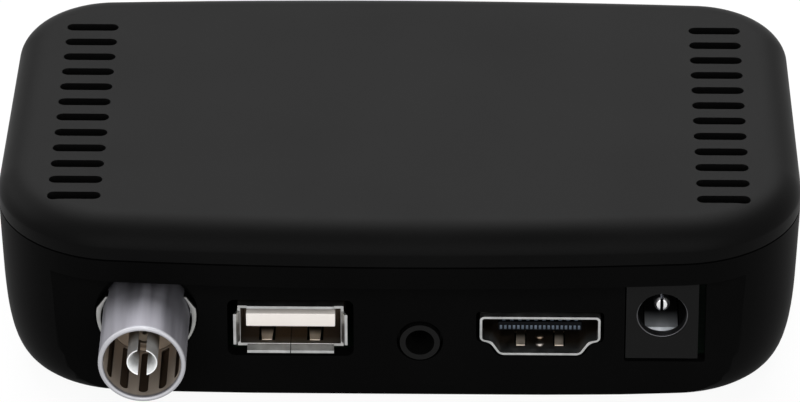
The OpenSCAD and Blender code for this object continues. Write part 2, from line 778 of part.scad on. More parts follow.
module top_cover() {
    lip_in = wall + lip_clear + lip_t;
    color(case_black) place() difference() {
        union() {
            difference() {
                loft(cover_levels);
                loft(cover_inner);
            }
            ring(wall / 2, lip_in, z_seam + seam_gap, z_seam + seam_gap + lip_t);
            ring(wall + lip_clear, lip_in, z_seam - lip_h, z_seam + seam_gap + bite);
            for (s = screw_spots) translate([s[0], s[1], z_board])
                cylinder(r = pillar_r, h = z_top - wall / 2 - z_board);
        }
        vent_slots();
        for (s = screw_spots) translate([s[0], s[1], z_board - cut])
            cylinder(r = screw_r + pilot_clear, h = screw_len - standoff_h - board_t + 2 * cut);
    }
}

module front_lens() {
    color(gloss_black) at_front(lens_x, lens_axis) along_y(-lens_t, 0) round_rect(lens_w, lens_h, lens_r);
}

module rubber_feet() {
    edge = foot_proud / 3;
    color(rubber_grey) place() for (x = [-1, 1], y = [-1, 1]) translate([x * foot_x, y * foot_y, 0])
        rotate_extrude() polygon([[0, 0], [foot_r - edge, 0], [foot_r, edge],
            [foot_r, z_under + foot_seat], [0, z_under + foot_seat]]);
}

// Pan-head screws, driven up through the base and the board into the cover's bosses
module case_screws() {
    slot_w = screw_head_r / 4;
    slot_len = screw_head_r;
    slot_h = screw_head_h / 2;
    color(steel) place() for (s = screw_spots) translate([s[0], s[1], z_under + wall]) difference() {
        union() {
            translate([0, 0, -screw_head_h]) cylinder(r = screw_head_r, h = screw_head_h);
            translate([0, 0, -bite]) cylinder(r = screw_r, h = screw_len + bite);
        }
        for (a = [0, 90]) rotate(a) translate([-slot_len / 2, -slot_w / 2, -screw_head_h - cut])
            cube([slot_len, slot_w, slot_h + cut]);
    }
}

// Board and what stands on it

module main_board() {
    color(board_green) place() translate([0, 0, z_board - board_t]) linear_extrude(board_t) difference() {
        intersection() {
            polygon(outline(inner_inset(wall + standoff_h) + board_margin));
            translate([-case_w / 2, -board_rear]) square([case_w, board_rear + board_front]);
        }
        for (s = screw_spots) translate(s) circle(r = screw_r + screw_clear);
    }
}

module main_chip() {
    color(chip_black) on_board(0, chip_y) block(chip_w, -chip_w / 2, chip_w / 2, 0, chip_h);
}

module heat_sink() {
    step = (sink_w - sink_fin) / (sink_fins - 1);
    color(tin) on_board(0, chip_y) translate([0, 0, chip_h]) {
        block(sink_w, -sink_w / 2, sink_w / 2, 0, sink_plate);
        for (i = [0:sink_fins - 1]) translate([(i - (sink_fins - 1) / 2) * step, 0, 0])
            block(sink_fin, -sink_w / 2, sink_w / 2, sink_plate - bite, sink_h);
    }
}

module memory_chip() {
    color(chip_black) on_board(memory_spot[0], memory_spot[1])
        block(memory_w, -memory_l / 2, memory_l / 2, 0, memory_h);
}

module flash_chip() {
    color(chip_black) on_board(flash_spot[0], flash_spot[1])
        block(flash_w, -flash_w / 2, flash_w / 2, 0, flash_h);
}

module crystal() {
    color(tin) on_board(crystal_spot[0], crystal_spot[1])
        linear_extrude(crystal_h) round_rect(crystal_l, crystal_w, crystal_w / 2 - bite);
}

module capacitors() {
    bead = cap_r / 8;
    color(chip_black) for (s = cap_spots) on_board(s[0], s[1]) rotate_extrude()
        polygon([[0, 0], [cap_r, 0], [cap_r, cap_h / 6], [cap_r - bead, cap_h / 5], [cap_r, cap_h / 4],
            [cap_r, cap_h - bead], [cap_r - bead, cap_h], [0, cap_h]]);
}

module inductors() {
    color(chip_black) for (s = coil_spots) on_board(s[0], s[1])
        linear_extrude(coil_h) round_rect(coil_w, coil_w, coil_w / 5);
}

module regulators() {
    color(chip_black) for (s = regulator_spots) on_board(s[0], s[1])
        block(regulator_w, -regulator_d / 2, regulator_d / 2, 0, regulator_h);
}

// Front: keys, display, infrared receiver and standby lamp

key_back = -front_t - key_clear - key_flange;
switch_y = key_back - key_travel - switch_gap;

module key(k) {
    flange_w = min(key_w + 2 * key_flange, key_pitch - 2 * key_clear);
    color(case_black) at_front(key_x - k * key_pitch, key_axis) {
        along_y(key_back, key_proud) round_rect(key_w, key_h, key_r);
        along_y(key_back, key_back + key_flange) round_rect(flange_w, key_h + 2 * key_flange, key_r);
    }
}

module plunger(k) {
    color(cream) at_front(key_x - k * key_pitch, key_axis) rod(plunger_r, switch_y - plunger_in, key_back);
}

module standby_key() { key(2); }
module channel_down_key() { key(1); }
module channel_up_key() { key(0); }
module standby_plunger() { plunger(2); }
module channel_down_plunger() { plunger(1); }
module channel_up_plunger() { plunger(0); }

module key_switches() {
    color(chip_black) for (k = [0:2]) at_front(key_x - k * key_pitch, key_axis) difference() {
        block(key_pitch - 2 * key_clear, switch_y - switch_len, switch_y, -key_axis, key_axis);
        rod(plunger_r + plunger_clear, switch_y - plunger_in - key_travel - plunger_clear, switch_y + cut);
    }
}

module display_module() {
    color(chip_black) at_front(lens_x, 0)
        block(display_w, display_face - display_l, display_face, 0, display_h);
}

// Seven bars to a digit
module digit() {
    w = digit_h / 2 + digit_stroke;
    bar = digit_h / 2 - digit_stroke;
    for (z = [-1, 0, 1]) translate([0, z * digit_h / 2])
        square([w - 2 * digit_stroke, digit_stroke], center = true);
    for (x = [-1, 1], z = [-1, 1]) translate([x * w / 2, z * digit_h / 4])
        square([digit_stroke, bar], center = true);
}

module display_segments() {
    color("firebrick") at_front(lens_x, lens_axis) along_y(display_face, display_face + digit_t) {
        for (i = [0:3]) translate([(i - 1.5) * digit_pitch, 0]) digit();
        for (z = [-1, 1]) translate([0, z * digit_h / 4]) circle(d = digit_stroke);
    }
}

// Middle of a dome whose top lies just behind the window
function dome_y(r) = -lens_t - display_gap - r;

module infrared_receiver() {
    rim = 0.6;
    body = 2 * (eye_r + rim);
    color(gloss_black) at_front(lens_x + eye_shift, lens_axis) {
        block(body, display_face - body, display_face, -lens_axis, eye_r + rim);
        rod(eye_r, display_face - body + bite, dome_y(eye_r));
        translate([0, dome_y(eye_r), 0]) sphere(r = eye_r);
    }
}

module standby_lamp() {
    leg = 0.5;
    back = display_face - 2 * lamp_r;
    collar = 0.3;
    color("darkred") at_front(lens_x - lamp_shift, lens_axis) {
        rod(lamp_r, back, dome_y(lamp_r));
        rod(lamp_r + collar, back, back + 2 * leg);
        translate([0, dome_y(lamp_r), 0]) sphere(r = lamp_r);
        for (side = [-1, 1]) translate([side * lamp_r / 2, 0, 0])
            block(leg, back + bite, back + bite + leg, -lens_axis, 0);
    }
}

// Rear: antenna socket and tuner

module tuner_can() {
    color(tin) at_socket(antenna_x, 0) difference() {
        block(can_w, can_y, can_y + can_l, 0, can_h);
        block(can_w - 2 * can_t, can_y + can_t, can_y + can_l - can_t, -cut, can_h - can_t);
        translate([0, 0, antenna_axis]) rod(tail_r + 2 * antenna_gap, can_y - cut, can_y + cut);
    }
}

module tuner_chip() {
    middle = can_y + can_l / 2;
    color(chip_black) at_socket(antenna_x, 0)
        block(tuner_chip_w, middle - tuner_chip_w / 2, middle + tuner_chip_w / 2, 0, tuner_chip_h);
}

// Plain tube from the mouth to the screening can, with a rounded lip
module antenna_tube() {
    inner = antenna_r - antenna_wall;
    lip = antenna_wall / 2 - antenna_reach;
    color(tin) at_socket(antenna_x, antenna_axis) rotate([-90, 0, 0]) rotate_extrude() {
        translate([inner, lip]) square([antenna_wall, can_y - lip]);
        translate([inner + antenna_wall / 2, lip]) circle(d = antenna_wall);
    }
}

// A dished ring round the tube's root, standing out of the panel's hole
module antenna_flange() {
    depth = 1.7;
    color(tin) at_socket(antenna_x, antenna_axis) difference() {
        rod(flange_r, -flange_out, depth);
        rod(flange_r - flange_rim, -flange_out - cut, 0);
        rod(antenna_r, -flange_out - cut, depth + cut);
    }
}

module antenna_insulator() {
    color(cream) at_socket(antenna_x, antenna_axis) difference() {
        rod(antenna_r - antenna_wall - press_gap, insulator_y, insulator_y + insulator_len);
        rod(tail_r + press_gap, insulator_y - cut, insulator_y + insulator_len + cut);
    }
}

// Split tube that grips a centre pin, on a solid tail that runs into the screening can
module antenna_contact() {
    end = -antenna_reach + contact_inset;
    root = insulator_y - contact_root;
    color(tin) at_socket(antenna_x, antenna_axis) difference() {
        union() {
            rod(contact_r, end, insulator_y);
            rod(tail_r, insulator_y - bite, tail_y);
        }
        rod(contact_bore, end - cut, root);
        block(contact_slit, end - cut, root, -contact_r - cut, contact_r + cut);
    }
}

// Rear: data port

// Size across the flared mouth for an opening of a given size
function data_span(opening) = opening + 2 * (sheet_t + data_flare);

data_root_z = -data_h / 2 - sheet_t / 2;

// One flap: a sheet that leans outwards from the shell's edge to the mouth
module flap(opening, width) {
    along_x(-width / 2, width / 2) polygon([
        [mouth_y + flare_len + bite, opening / 2], [mouth_y + flare_len + bite, opening / 2 + sheet_t],
        [mouth_y, opening / 2 + sheet_t + data_flare], [mouth_y, opening / 2 + data_flare]]);
}

module data_port_shell() {
    edge = mouth_y + flare_len;
    leg_w = 1.6;
    color(steel) at_socket(data_x, data_axis) difference() {
        union() {
            difference() {
                block(data_w + 2 * sheet_t, edge, data_len, -data_h / 2 - sheet_t, data_h / 2 + sheet_t);
                block(data_w, edge - cut, data_len + cut, -data_h / 2, data_h / 2);
            }
            for (side = [0, 180]) rotate([0, side, 0]) flap(data_h, data_w - 2 * data_flap_short);
            for (side = [90, 270]) rotate([0, side, 0]) flap(data_w, data_h - 2 * sheet_t);
            for (side = [-1, 1], y = [data_len / 3, data_len - 3 * leg_w / 2])
                translate([side * (data_w + sheet_t) / 2, y, 0]) block(sheet_t, 0, leg_w, -data_axis, 0);
        }
        for (side = [-1, 1]) translate([side * data_spring_x, 0, data_root_z])
            spring_window(data_spring_end, data_spring_len + data_spring_tip);
    }
}

// Opening in a shell's floor that a spring presses down into
module spring_window(w, len) {
    block(w + 2 * spring_gap, spring_root_y - spring_t / 2 - spring_gap,
        spring_root_y + len + spring_gap, -sheet_t, sheet_t);
}

module data_port_tongue() {
    tongue_z = data_tongue_up - data_tongue_t / 2;
    fit = 2 * press_gap;
    color(cream) at_socket(data_x, data_axis) {
        block(data_tongue_w, data_tongue_y, data_block_y + bite, tongue_z, tongue_z + data_tongue_t);
        block(data_w - fit, data_block_y, data_len, (fit - data_h) / 2, (data_h - fit) / 2);
    }
}

// Four strips under the tongue, each with a bowed contact point
module data_port_contacts() {
    t = data_contact_t;
    run = data_contact_run;
    start = data_tongue_y + data_tongue_t / 3;
    under = data_tongue_up - data_tongue_t / 2;
    color(gold) at_socket(data_x, data_axis) for (side = [-1, 1], x = [data_contact_in, data_contact_out])
        translate([side * x, 0, under]) along_x(-data_contact_w / 2, data_contact_w / 2)
            polygon([[start, 0], [data_block_y, 0], [data_block_y, -t], [start + 3 * run, -t],
                [start + 2 * run, -t - data_contact_bow], [start + run, -t - data_contact_bow / 2],
                [start, -t]]);
}

module data_spring_at(side) {
    color(steel) at_socket(data_x, data_axis)
        translate([side * data_spring_x, spring_root_y, data_root_z]) rotate([spring_angle, 0, 0])
            leaf(data_spring_len, data_spring_tip, data_spring_root, data_spring_end, spring_t);
}

module data_port_spring_left() { data_spring_at(-1); }
module data_port_spring_right() { data_spring_at(1); }

// Rear: audio and video jack

module av_jack_body() {
    back = av_front + av_l;
    color(jack_black) at_socket(av_x, av_axis) difference() {
        union() {
            block(av_w, av_front, back, -av_axis, av_h - av_axis);
            rod(av_nose_r, av_face, av_front + bite);
        }
        rod(av_bore, av_face - cut, av_face + av_bore_len + bite);
        rod(av_chamber, av_face + av_bore_len, back - av_slot_y);
        for (side = [-1, 1]) translate([side * (av_w / 2 + cut), 0, 0])
            block(av_w + 2 * cut - av_chamber, av_face + av_bore_len + av_slot_y, back - av_root_y / 2,
                -av_leaf_w / 2 - spring_gap, av_leaf_w / 2 + spring_gap);
    }
}

// A spring leaf in a side slot of the jack: root at the back, tip towards the mouth
module av_leaf(side, len) {
    back = av_front + av_l - av_root_y - av_leaf_t;
    color(gold) at_socket(av_x, av_axis) translate([side * (av_chamber + av_leaf_t), back, 0])
        rotate([0, 0, -side * av_leaf_angle]) rotate([0, side * -90, 0]) rotate([0, 0, 180])
            leaf(len, av_slot_y / 2, av_leaf_w, av_leaf_w, av_leaf_t);
}

module av_tip_contact() { av_leaf(-1, av_tip_len); }
module av_ring_contact() { av_leaf(1, av_ring_len); }

// Rear: video port

// Outline of the shell, drawn in by an inset: upright sides, a step, and cheeks to a narrower foot
function video_outline(inset) = let (
    w = video_w / 2,
    side = video_h / 2 - video_side,
    right = [[(video_foot - inset) / 2, inset - video_h / 2],
        [w - video_step - 0.6 * inset, side - video_step_drop + 0.8 * inset],
        [w - inset, side + 0.6 * inset], [w - inset, video_h / 2 - inset]])
    concat(right, [for (i = [len(right) - 1:-1:0]) [-right[i][0], right[i][1]]]);

video_root_z = (sheet_t - video_h) / 2;

module video_port_shell() {
    leg_w = 1.4;
    button_r = 0.45;
    button_h = 0.2;
    color(steel) at_socket(video_x, video_axis) difference() {
        union() {
            difference() {
                along_y(mouth_y, video_len) polygon(video_outline(0));
                along_y(mouth_y - cut, video_len + cut) polygon(video_outline(sheet_t));
            }
            translate([0, spring_root_y - button_r, sheet_t - video_h / 2 - bite])
                cylinder(r = button_r, h = button_h + bite);
            for (side = [-1, 1], y = [video_len / 3, video_len - 3 * leg_w / 2])
                translate([side * (video_w - sheet_t) / 2, y, 0]) block(sheet_t, 0, leg_w, -video_axis, 0);
        }
        for (side = [-1, 1]) translate([side * video_spring_x, 0, video_root_z])
            spring_window(video_spring_w, video_spring_len + video_spring_tip);
    }
}

module video_port_tongue() {
    tongue_z = video_tongue_up - video_tongue_t / 2;
    color(chip_black) at_socket(video_x, video_axis) {
        block(video_tongue_w, video_tongue_y, video_block_y + bite, tongue_z, tongue_z + video_tongue_t);
        along_y(video_block_y, video_len) polygon(video_outline(sheet_t + press_gap));
    }
}

// Two staggered rows of contact strips, over and under the tongue
module video_port_contacts() {
    start = video_tongue_y + video_tongue_t / 4;
    over = video_tongue_up + video_tongue_t / 2;
    under = video_tongue_up - video_tongue_t / 2;
    color(gold) at_socket(video_x, video_axis) {
        for (i = [0:video_contacts - 1])
            translate([(i - (video_contacts - 1) / 2) * video_contact_pitch, 0, 0])
                block(video_contact_w, start, video_block_y, over, over + video_contact_t);
        for (i = [1:video_contacts - 1])
            translate([(i - video_contacts / 2) * video_contact_pitch, 0, 0])
                block(video_contact_w, start, video_block_y, under - video_contact_t, under);
    }
}

module video_spring_at(side) {
    color(steel) at_socket(video_x, video_axis)
        translate([side * video_spring_x, spring_root_y, video_root_z]) rotate([spring_angle, 0, 0])
            leaf(video_spring_len, video_spring_tip, video_spring_w, video_spring_w, spring_t);
}

module video_port_spring_left() { video_spring_at(-1); }
module video_port_spring_right() { video_spring_at(1); }

// Rear: power jack

power_root_z = -power_bore - power_root_drop;
power_tail_r = power_pin_r - power_pin_step;

module power_jack_body() {
    slot_front = 0.9;
    slot_w = power_spring_w + 2 * spring_gap;
    color(jack_black) at_socket(power_x, power_axis) difference() {
        block(power_w, 0, power_len, -power_axis, power_h - power_axis);
        rod(power_bore, -cut, power_depth);
        block(slot_w, slot_front, power_root_y + 2 * power_leaf_t,
            power_root_z - 3 * power_leaf_t, -power_bore / 2);
        rod(power_tail_r + press_gap, power_depth - cut, power_len + cut);
    }
}

// Split pin with a chamfered end, on a thinner tail that is pressed into the back of the body
module power_jack_pin() {
    nose = power_pin_r / 3;
    slit = power_pin_r / 3;
    slit_len = 3;
    color(steel) at_socket(power_x, power_axis) difference() {
        rotate([-90, 0, 0]) rotate_extrude() polygon([
            [0, power_pin_inset], [power_pin_r - nose, power_pin_inset],
            [power_pin_r, power_pin_inset + nose], [power_pin_r, power_depth],
            [power_tail_r, power_depth], [power_tail_r, power_len], [0, power_len]]);
        block(slit, power_pin_inset - cut, power_pin_inset + slit_len, -2 * power_pin_r, 2 * power_pin_r);
    }
}

module power_jack_spring() {
    color(steel) at_socket(power_x, power_axis) translate([0, power_root_y, power_root_z])
        rotate([-power_leaf_angle, 0, 0]) rotate([0, 0, 180])
            leaf(power_leaf_len, power_leaf_tip, power_spring_w, power_spring_w, power_leaf_t);
}

base_shell();
panel_rim();
antenna_panel();
data_panel();
sound_panel();
video_panel();
front_panel();
top_cover();
front_lens();
rubber_feet();
case_screws();
main_board();
standby_key();
channel_down_key();
channel_up_key();
standby_plunger();
channel_down_plunger();
channel_up_plunger();
key_switches();
display_module();
display_segments();
infrared_receiver();
standby_lamp();
tuner_can();
tuner_chip();
antenna_tube();
antenna_flange();
antenna_insulator();
antenna_contact();
data_port_shell();
data_port_tongue();
data_port_contacts();
data_port_spring_left();
data_port_spring_right();
av_jack_body();
av_tip_contact();
av_ring_contact();
video_port_shell();
video_port_tongue();
video_port_contacts();
video_port_spring_left();
video_port_spring_right();
power_jack_body();
power_jack_pin();
power_jack_spring();
main_chip();
heat_sink();
memory_chip();
flash_chip();
crystal();
capacitors();
inductors();
regulators();
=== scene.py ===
import json
import math

import bmesh
import bpy
from mathutils import Matrix, Vector


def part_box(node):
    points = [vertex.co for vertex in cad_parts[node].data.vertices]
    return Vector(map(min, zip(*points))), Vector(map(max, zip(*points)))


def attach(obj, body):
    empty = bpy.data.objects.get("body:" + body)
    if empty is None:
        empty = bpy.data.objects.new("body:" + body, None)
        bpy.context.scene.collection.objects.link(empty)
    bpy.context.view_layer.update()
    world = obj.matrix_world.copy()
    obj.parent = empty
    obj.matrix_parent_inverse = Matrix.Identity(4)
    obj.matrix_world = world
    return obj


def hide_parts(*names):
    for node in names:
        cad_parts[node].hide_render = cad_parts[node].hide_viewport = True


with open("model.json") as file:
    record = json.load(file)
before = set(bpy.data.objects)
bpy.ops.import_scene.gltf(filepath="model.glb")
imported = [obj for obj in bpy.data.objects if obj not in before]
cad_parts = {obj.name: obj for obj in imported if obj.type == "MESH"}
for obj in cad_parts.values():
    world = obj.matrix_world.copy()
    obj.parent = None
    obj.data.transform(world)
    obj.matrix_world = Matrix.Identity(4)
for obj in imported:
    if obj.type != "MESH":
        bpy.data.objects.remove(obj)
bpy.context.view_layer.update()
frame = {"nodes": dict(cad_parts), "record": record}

# The picture is taken with a long lens from behind the box and above it, so that the row of
# sockets and the vented top both show. The camera stands where the perspective puts it.
mm = 0.001
aim = Vector((-0.2, 6.65, 11.1)) * mm
distance = 815.15 * mm
rise, swing, roll = math.radians(30.8), math.radians(0.855), math.radians(-0.07)
camera = bpy.data.objects.new("camera", bpy.data.cameras.new("camera"))
bpy.context.scene.collection.objects.link(camera)
camera.data.lens = 285.7
camera.data.sensor_width = 36
camera.data.clip_start, camera.data.clip_end = 0.01, 20
away = Vector((math.sin(swing) * math.cos(rise), -math.cos(swing) * math.cos(rise), math.sin(rise)))
camera.location = aim + away * distance
turn = (-away).to_track_quat("-Z", "Y").to_matrix() @ Matrix.Rotation(roll, 3, "Z")
camera.rotation_euler = turn.to_euler()
bpy.context.scene.camera = camera
bpy.context.scene.view_settings.view_transform = "Standard"


# The studio is a white sweep: a pale floor under the box and a white surround. Both show white
# to the camera and in gloss and metal, and the floor keeps a soft shadow of the box.
def seen_directly(nodes, links):
    """A socket that is 1 for rays from the camera, from gloss and through glass, else 0."""
    path = nodes.new("ShaderNodeLightPath")
    either = nodes.new("ShaderNodeMath")
    either.operation = "MAXIMUM"
    links.new(path.outputs["Is Camera Ray"], either.inputs[0])
    links.new(path.outputs["Is Glossy Ray"], either.inputs[1])
    any_of = nodes.new("ShaderNodeMath")
    any_of.operation = "MAXIMUM"
    links.new(either.outputs[0], any_of.inputs[0])
    links.new(path.outputs["Is Transmission Ray"], any_of.inputs[1])
    return any_of.outputs[0]


world = bpy.data.worlds.new("surround")
bpy.context.scene.world = world
world.use_nodes = True
nodes, links = world.node_tree.nodes, world.node_tree.links
nodes.clear()
white = nodes.new("ShaderNodeBackground")
dim = nodes.new("ShaderNodeBackground")
dim.inputs["Strength"].default_value = 0.06
which = nodes.new("ShaderNodeMixShader")
out = nodes.new("ShaderNodeOutputWorld")
white.inputs["Color"].default_value = dim.inputs["Color"].default_value = (1, 1, 1, 1)
links.new(seen_directly(nodes, links), which.inputs[0])
links.new(dim.outputs[0], which.inputs[1])
links.new(white.outputs[0], which.inputs[2])
links.new(which.outputs[0], out.inputs[0])

floor_half, floor_drop = 6.0, 0.05 * mm
bm = bmesh.new()
bmesh.ops.create_grid(
    bm, x_segments=1, y_segments=1, size=floor_half, matrix=Matrix.Translation((0, 0, -floor_drop)))
floor = bpy.data.objects.new("floor", bpy.data.meshes.new("floor"))
bm.to_mesh(floor.data)
bm.free()
bpy.context.scene.collection.objects.link(floor)
paper = bpy.data.materials.new("floor_paper")
paper.use_nodes = True
nodes, links = paper.node_tree.nodes, paper.node_tree.links
nodes.clear()
shade = nodes.new("ShaderNodeBsdfDiffuse")
shade.inputs["Color"].default_value = (0.9, 0.9, 0.9, 1)
glow = nodes.new("ShaderNodeEmission")
lit = nodes.new("ShaderNodeMixShader")
lit.inputs[0].default_value = 0.93
bounce = nodes.new("ShaderNodeBsdfDiffuse")
bounce.inputs["Color"].default_value = (0.2, 0.2, 0.2, 1)
which = nodes.new("ShaderNodeMixShader")
out = nodes.new("ShaderNodeOutputMaterial")
links.new(shade.outputs[0], lit.inputs[1])
links.new(glow.outputs[0], lit.inputs[2])
links.new(seen_directly(nodes, links), which.inputs[0])
links.new(bounce.outputs[0], which.inputs[1])
links.new(lit.outputs[0], which.inputs[2])
links.new(which.outputs[0], out.inputs[0])
floor.data.materials.append(paper)


def softbox(name, place, aim_at, width, height, power):
    """A large soft lamp at a place, turned towards a point."""
    lamp = bpy.data.objects.new(name, bpy.data.lights.new(name, "AREA"))
    lamp.data.shape = "RECTANGLE"
    lamp.data.size, lamp.data.size_y = width, height
    lamp.data.energy = power
    lamp.location = place
    lamp.rotation_euler = (Vector(aim_at) - Vector(place)).to_track_quat("-Z", "Y").to_euler()
    bpy.context.scene.collection.objects.link(lamp)
    return lamp


softbox("back_top", (0, 0.85, 1.2), (0, 0, 0), 1.6, 1.3, 40)
softbox("left_strip", (-1.2, 0.5, 0.75), (0, 0, 0), 1.0, 1.0, 10)
softbox("front_fill", (0.1, -1.9, 0.95), (0, 0, 0), 3.0, 1.8, 50)


# Base of the case: one moulding in black plastic with a fine spark-eroded grain. Its round lower edge
# runs up into drafted sides, the socket panel and the front face stand back under a rim, and four
# pillars on its floor carry the board.
def new_finish(name):
    """A material with its shader, and coordinates that are fixed to the object."""
    finish = bpy.data.materials.new(name)
    finish.use_nodes = True
    tree = finish.node_tree
    place = tree.nodes.new("ShaderNodeTexCoord")
    return finish, tree, tree.nodes["Principled BSDF"], place.outputs["Object"]


def speckle(tree, place, scale, detail=2.0, stretch=(1, 1, 1)):
    """A noise of a given number of spots to the metre, stretched along the axes."""
    spread = tree.nodes.new("ShaderNodeMapping")
    spread.inputs["Scale"].default_value = stretch
    tree.links.new(place, spread.inputs["Vector"])
    noise = tree.nodes.new("ShaderNodeTexNoise")
    noise.inputs["Scale"].default_value = scale
    noise.inputs["Detail"].default_value = detail
    tree.links.new(spread.outputs["Vector"], noise.inputs["Vector"])
    return noise.outputs["Fac"]


noise_low, noise_high = 0.3, 0.7


def rising(tree, value, start, end, low=0, high=1):
    """A socket that runs from one number to another as a value runs from a start to an end."""
    spread = tree.nodes.new("ShaderNodeMapRange")
    spread.inputs["From Min"].default_value, spread.inputs["From Max"].default_value = start, end
    spread.inputs["To Min"].default_value, spread.inputs["To Max"].default_value = low, high
    tree.links.new(value, spread.inputs["Value"])
    return spread.outputs["Result"]


def between(tree, noise, low, high):
    """A socket that runs from one number or colour to another over a noise's usual range."""
    if not isinstance(low, tuple):
        return rising(tree, noise, noise_low, noise_high, low, high)
    ramp = tree.nodes.new("ShaderNodeValToRGB")
    for stop, position, colour in zip(ramp.color_ramp.elements, (noise_low, noise_high), (low, high)):
        stop.position, stop.color = position, (*colour, 1)
    tree.links.new(noise, ramp.inputs["Fac"])
    return ramp.outputs["Color"]


def relief(tree, shader, height, depth, strength=1.0):
    """Lets a noise stand out of the surface by a given depth."""
    bump = tree.nodes.new("ShaderNodeBump")
    bump.inputs["Distance"].default_value = depth
    bump.inputs["Strength"].default_value = strength
    tree.links.new(height, bump.inputs["Height"])
    tree.links.new(bump.outputs["Normal"], shader.inputs["Normal"])


def moulded(name, dark, light, rough, shine, grain=3000, depth=0.004 * mm):
    """Moulded plastic: a slight cloud in its colour and gloss, and a fine grain."""
    finish, tree, shader, place = new_finish(name)
    cloud = speckle(tree, place, 60, 3)
    tree.links.new(between(tree, cloud, dark, light), shader.inputs["Base Color"])
    tree.links.new(between(tree, cloud, rough - 0.03, rough + 0.03), shader.inputs["Roughness"])
    shader.inputs["Specular IOR Level"].default_value = shine
    relief(tree, shader, speckle(tree, place, grain, 1), depth, 0.6)
    return finish


# The base and the cover are one plastic, but the base's copy is darker and less glossy than the cover's:
# painted shade, set for the panels under the rim.
case_black = moulded("case_black", (0.0018, 0.0018, 0.0018), (0.0024, 0.0024, 0.0024), 0.5, 0.012)

half_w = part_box("base_shell")[1].x
under_z, seam_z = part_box("base_shell")[0].z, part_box("base_shell")[1].z
rear_y, front_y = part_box("panel_rim")[0].y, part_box("base_shell")[1].y
rim_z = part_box("panel_rim")[0].z
panel_y, panel_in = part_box("data_panel")[0].y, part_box("data_panel")[1].y
face_in, face_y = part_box("front_panel")[0].y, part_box("front_panel")[1].y
middle_y, half_d = (front_y + rear_y) / 2, (front_y - rear_y) / 2
wall = panel_in - panel_y
rear_corner_r, rear_bow_r = 16 * mm, 480 * mm
front_corner_r, front_bow_r, front_in = 12 * mm, 800 * mm, 0.6 * mm
corner_steps, bow_steps = 24, 12


def end_in_plan(bow_r, corner_r, reach):
    """The plan of one end of the case: its bow's centre and half angle, and its corner's centre."""
    corner_x = reach - corner_r
    bow = math.asin(corner_x / (bow_r - corner_r))
    return bow_r - half_d, bow, corner_x, (bow_r - corner_r) * math.cos(bow) - (bow_r - half_d)


def sweep_round_case(section):
    """A closed skin: the points of a section, each an inset and a height, carried round the case."""
    rear_y0, rear_bow, rear_x, rear_c = end_in_plan(rear_bow_r, rear_corner_r, half_w)
    front_y0, front_bow, front_x, front_c = end_in_plan(front_bow_r, front_corner_r, half_w - front_in)
    run = Vector((front_x - rear_x, front_c + rear_c))
    side = math.atan2(run.y, run.x) - math.acos((rear_corner_r - front_corner_r) / run.length)
    run += (front_corner_r - rear_corner_r) * Vector((math.cos(side), math.sin(side)))
    rear_turn = math.pi / 2 - rear_bow + side
    front_turn = math.pi / 2 - front_bow - side
    start = -math.pi / 2 - rear_bow
    bm = bmesh.new()
    points = []
    for inset, z in section:
        r = rear_bow_r - inset
        points.append(bm.verts.new((r * math.cos(start), middle_y + rear_y0 + r * math.sin(start), z)))
    line = points + [bm.edges.new(pair) for pair in zip(points, points[1:])]
    for x, y, angle, steps, slide in (
        (0, rear_y0, 2 * rear_bow, bow_steps, (0, 0, 0)),
        (rear_x, -rear_c, rear_turn, corner_steps, (0, 0, 0)),
        (0, 0, 0, 1, (run.x, run.y, 0)),
        (front_x, front_c, front_turn, corner_steps, (0, 0, 0)),
        (0, -front_y0, 2 * front_bow, bow_steps, (0, 0, 0)),
        (-front_x, front_c, front_turn, corner_steps, (0, 0, 0)),
        (0, 0, 0, 1, (run.x, -run.y, 0)),
        (-rear_x, -rear_c, rear_turn, corner_steps, (0, 0, 0)),
    ):
        made = bmesh.ops.spin(
            bm, geom=line, cent=(x, middle_y + y, 0), axis=(0, 0, 1), dvec=slide,
            angle=angle, steps=steps, use_duplicate=False)
        line = made["geom_last"]
    bmesh.ops.remove_doubles(bm, verts=bm.verts, dist=0.002 * mm)
    bmesh.ops.holes_fill(bm, edges=[e for e in bm.edges if e.is_boundary], sides=0)
    bmesh.ops.recalc_face_normals(bm, faces=bm.faces)
    return bm


def combined(body, tool, operation):
    """One closed shape made from two, which are used up."""
    shapes = []
    for shape in (body, tool):
        blank = bpy.data.objects.new("blank", bpy.data.meshes.new("blank"))
        shape.to_mesh(blank.data)
        shape.free()
        bpy.context.scene.collection.objects.link(blank)
        shapes.append(blank)
    cut = shapes[0].modifiers.new("cut", "BOOLEAN")
    cut.operation, cut.object, cut.solver = operation, shapes[1], "EXACT"
    result = bmesh.new()
    result.from_object(shapes[0], bpy.context.evaluated_depsgraph_get())
    for blank in shapes:
        mesh = blank.data
        bpy.data.objects.remove(blank)
        bpy.data.meshes.remove(mesh)
    return result


def carve(body, tool):
    """Cuts one closed shape out of another, and returns what is left."""
    return combined(body, tool, "DIFFERENCE")


def fuse(body, more):
    """Joins two closed shapes into one."""
    return combined(body, more, "UNION")


def round_bar(bm, radius, middle, length, axis="Y", steps=64):
    """A round bar along an axis."""
    turn = {"Y": Matrix.Rotation(math.pi / 2, 4, "X"), "Z": Matrix.Identity(4)}[axis]
    bmesh.ops.create_cone(
        bm, cap_ends=True, segments=steps, radius1=radius, radius2=radius, depth=length,
        matrix=Matrix.Translation(middle) @ turn)


def flat_bar(bm, size, middle, radius=0, axis=1, steps=6):
    """A bar whose four edges along an axis are rounded."""
    place = Matrix.LocRotScale(Vector(middle), None, Vector(size))
    made = bmesh.ops.create_cube(bm, size=1, matrix=place)["verts"]
    if radius:
        along = [e for e in bm.edges if e.verts[0] in made and e.verts[1] in made
                 and abs((e.verts[0].co - e.verts[1].co).normalized()[axis]) > 0.9]
        bmesh.ops.bevel(
            bm, geom=along, offset=radius, segments=steps, profile=0.5, affect="EDGES", material=-1)


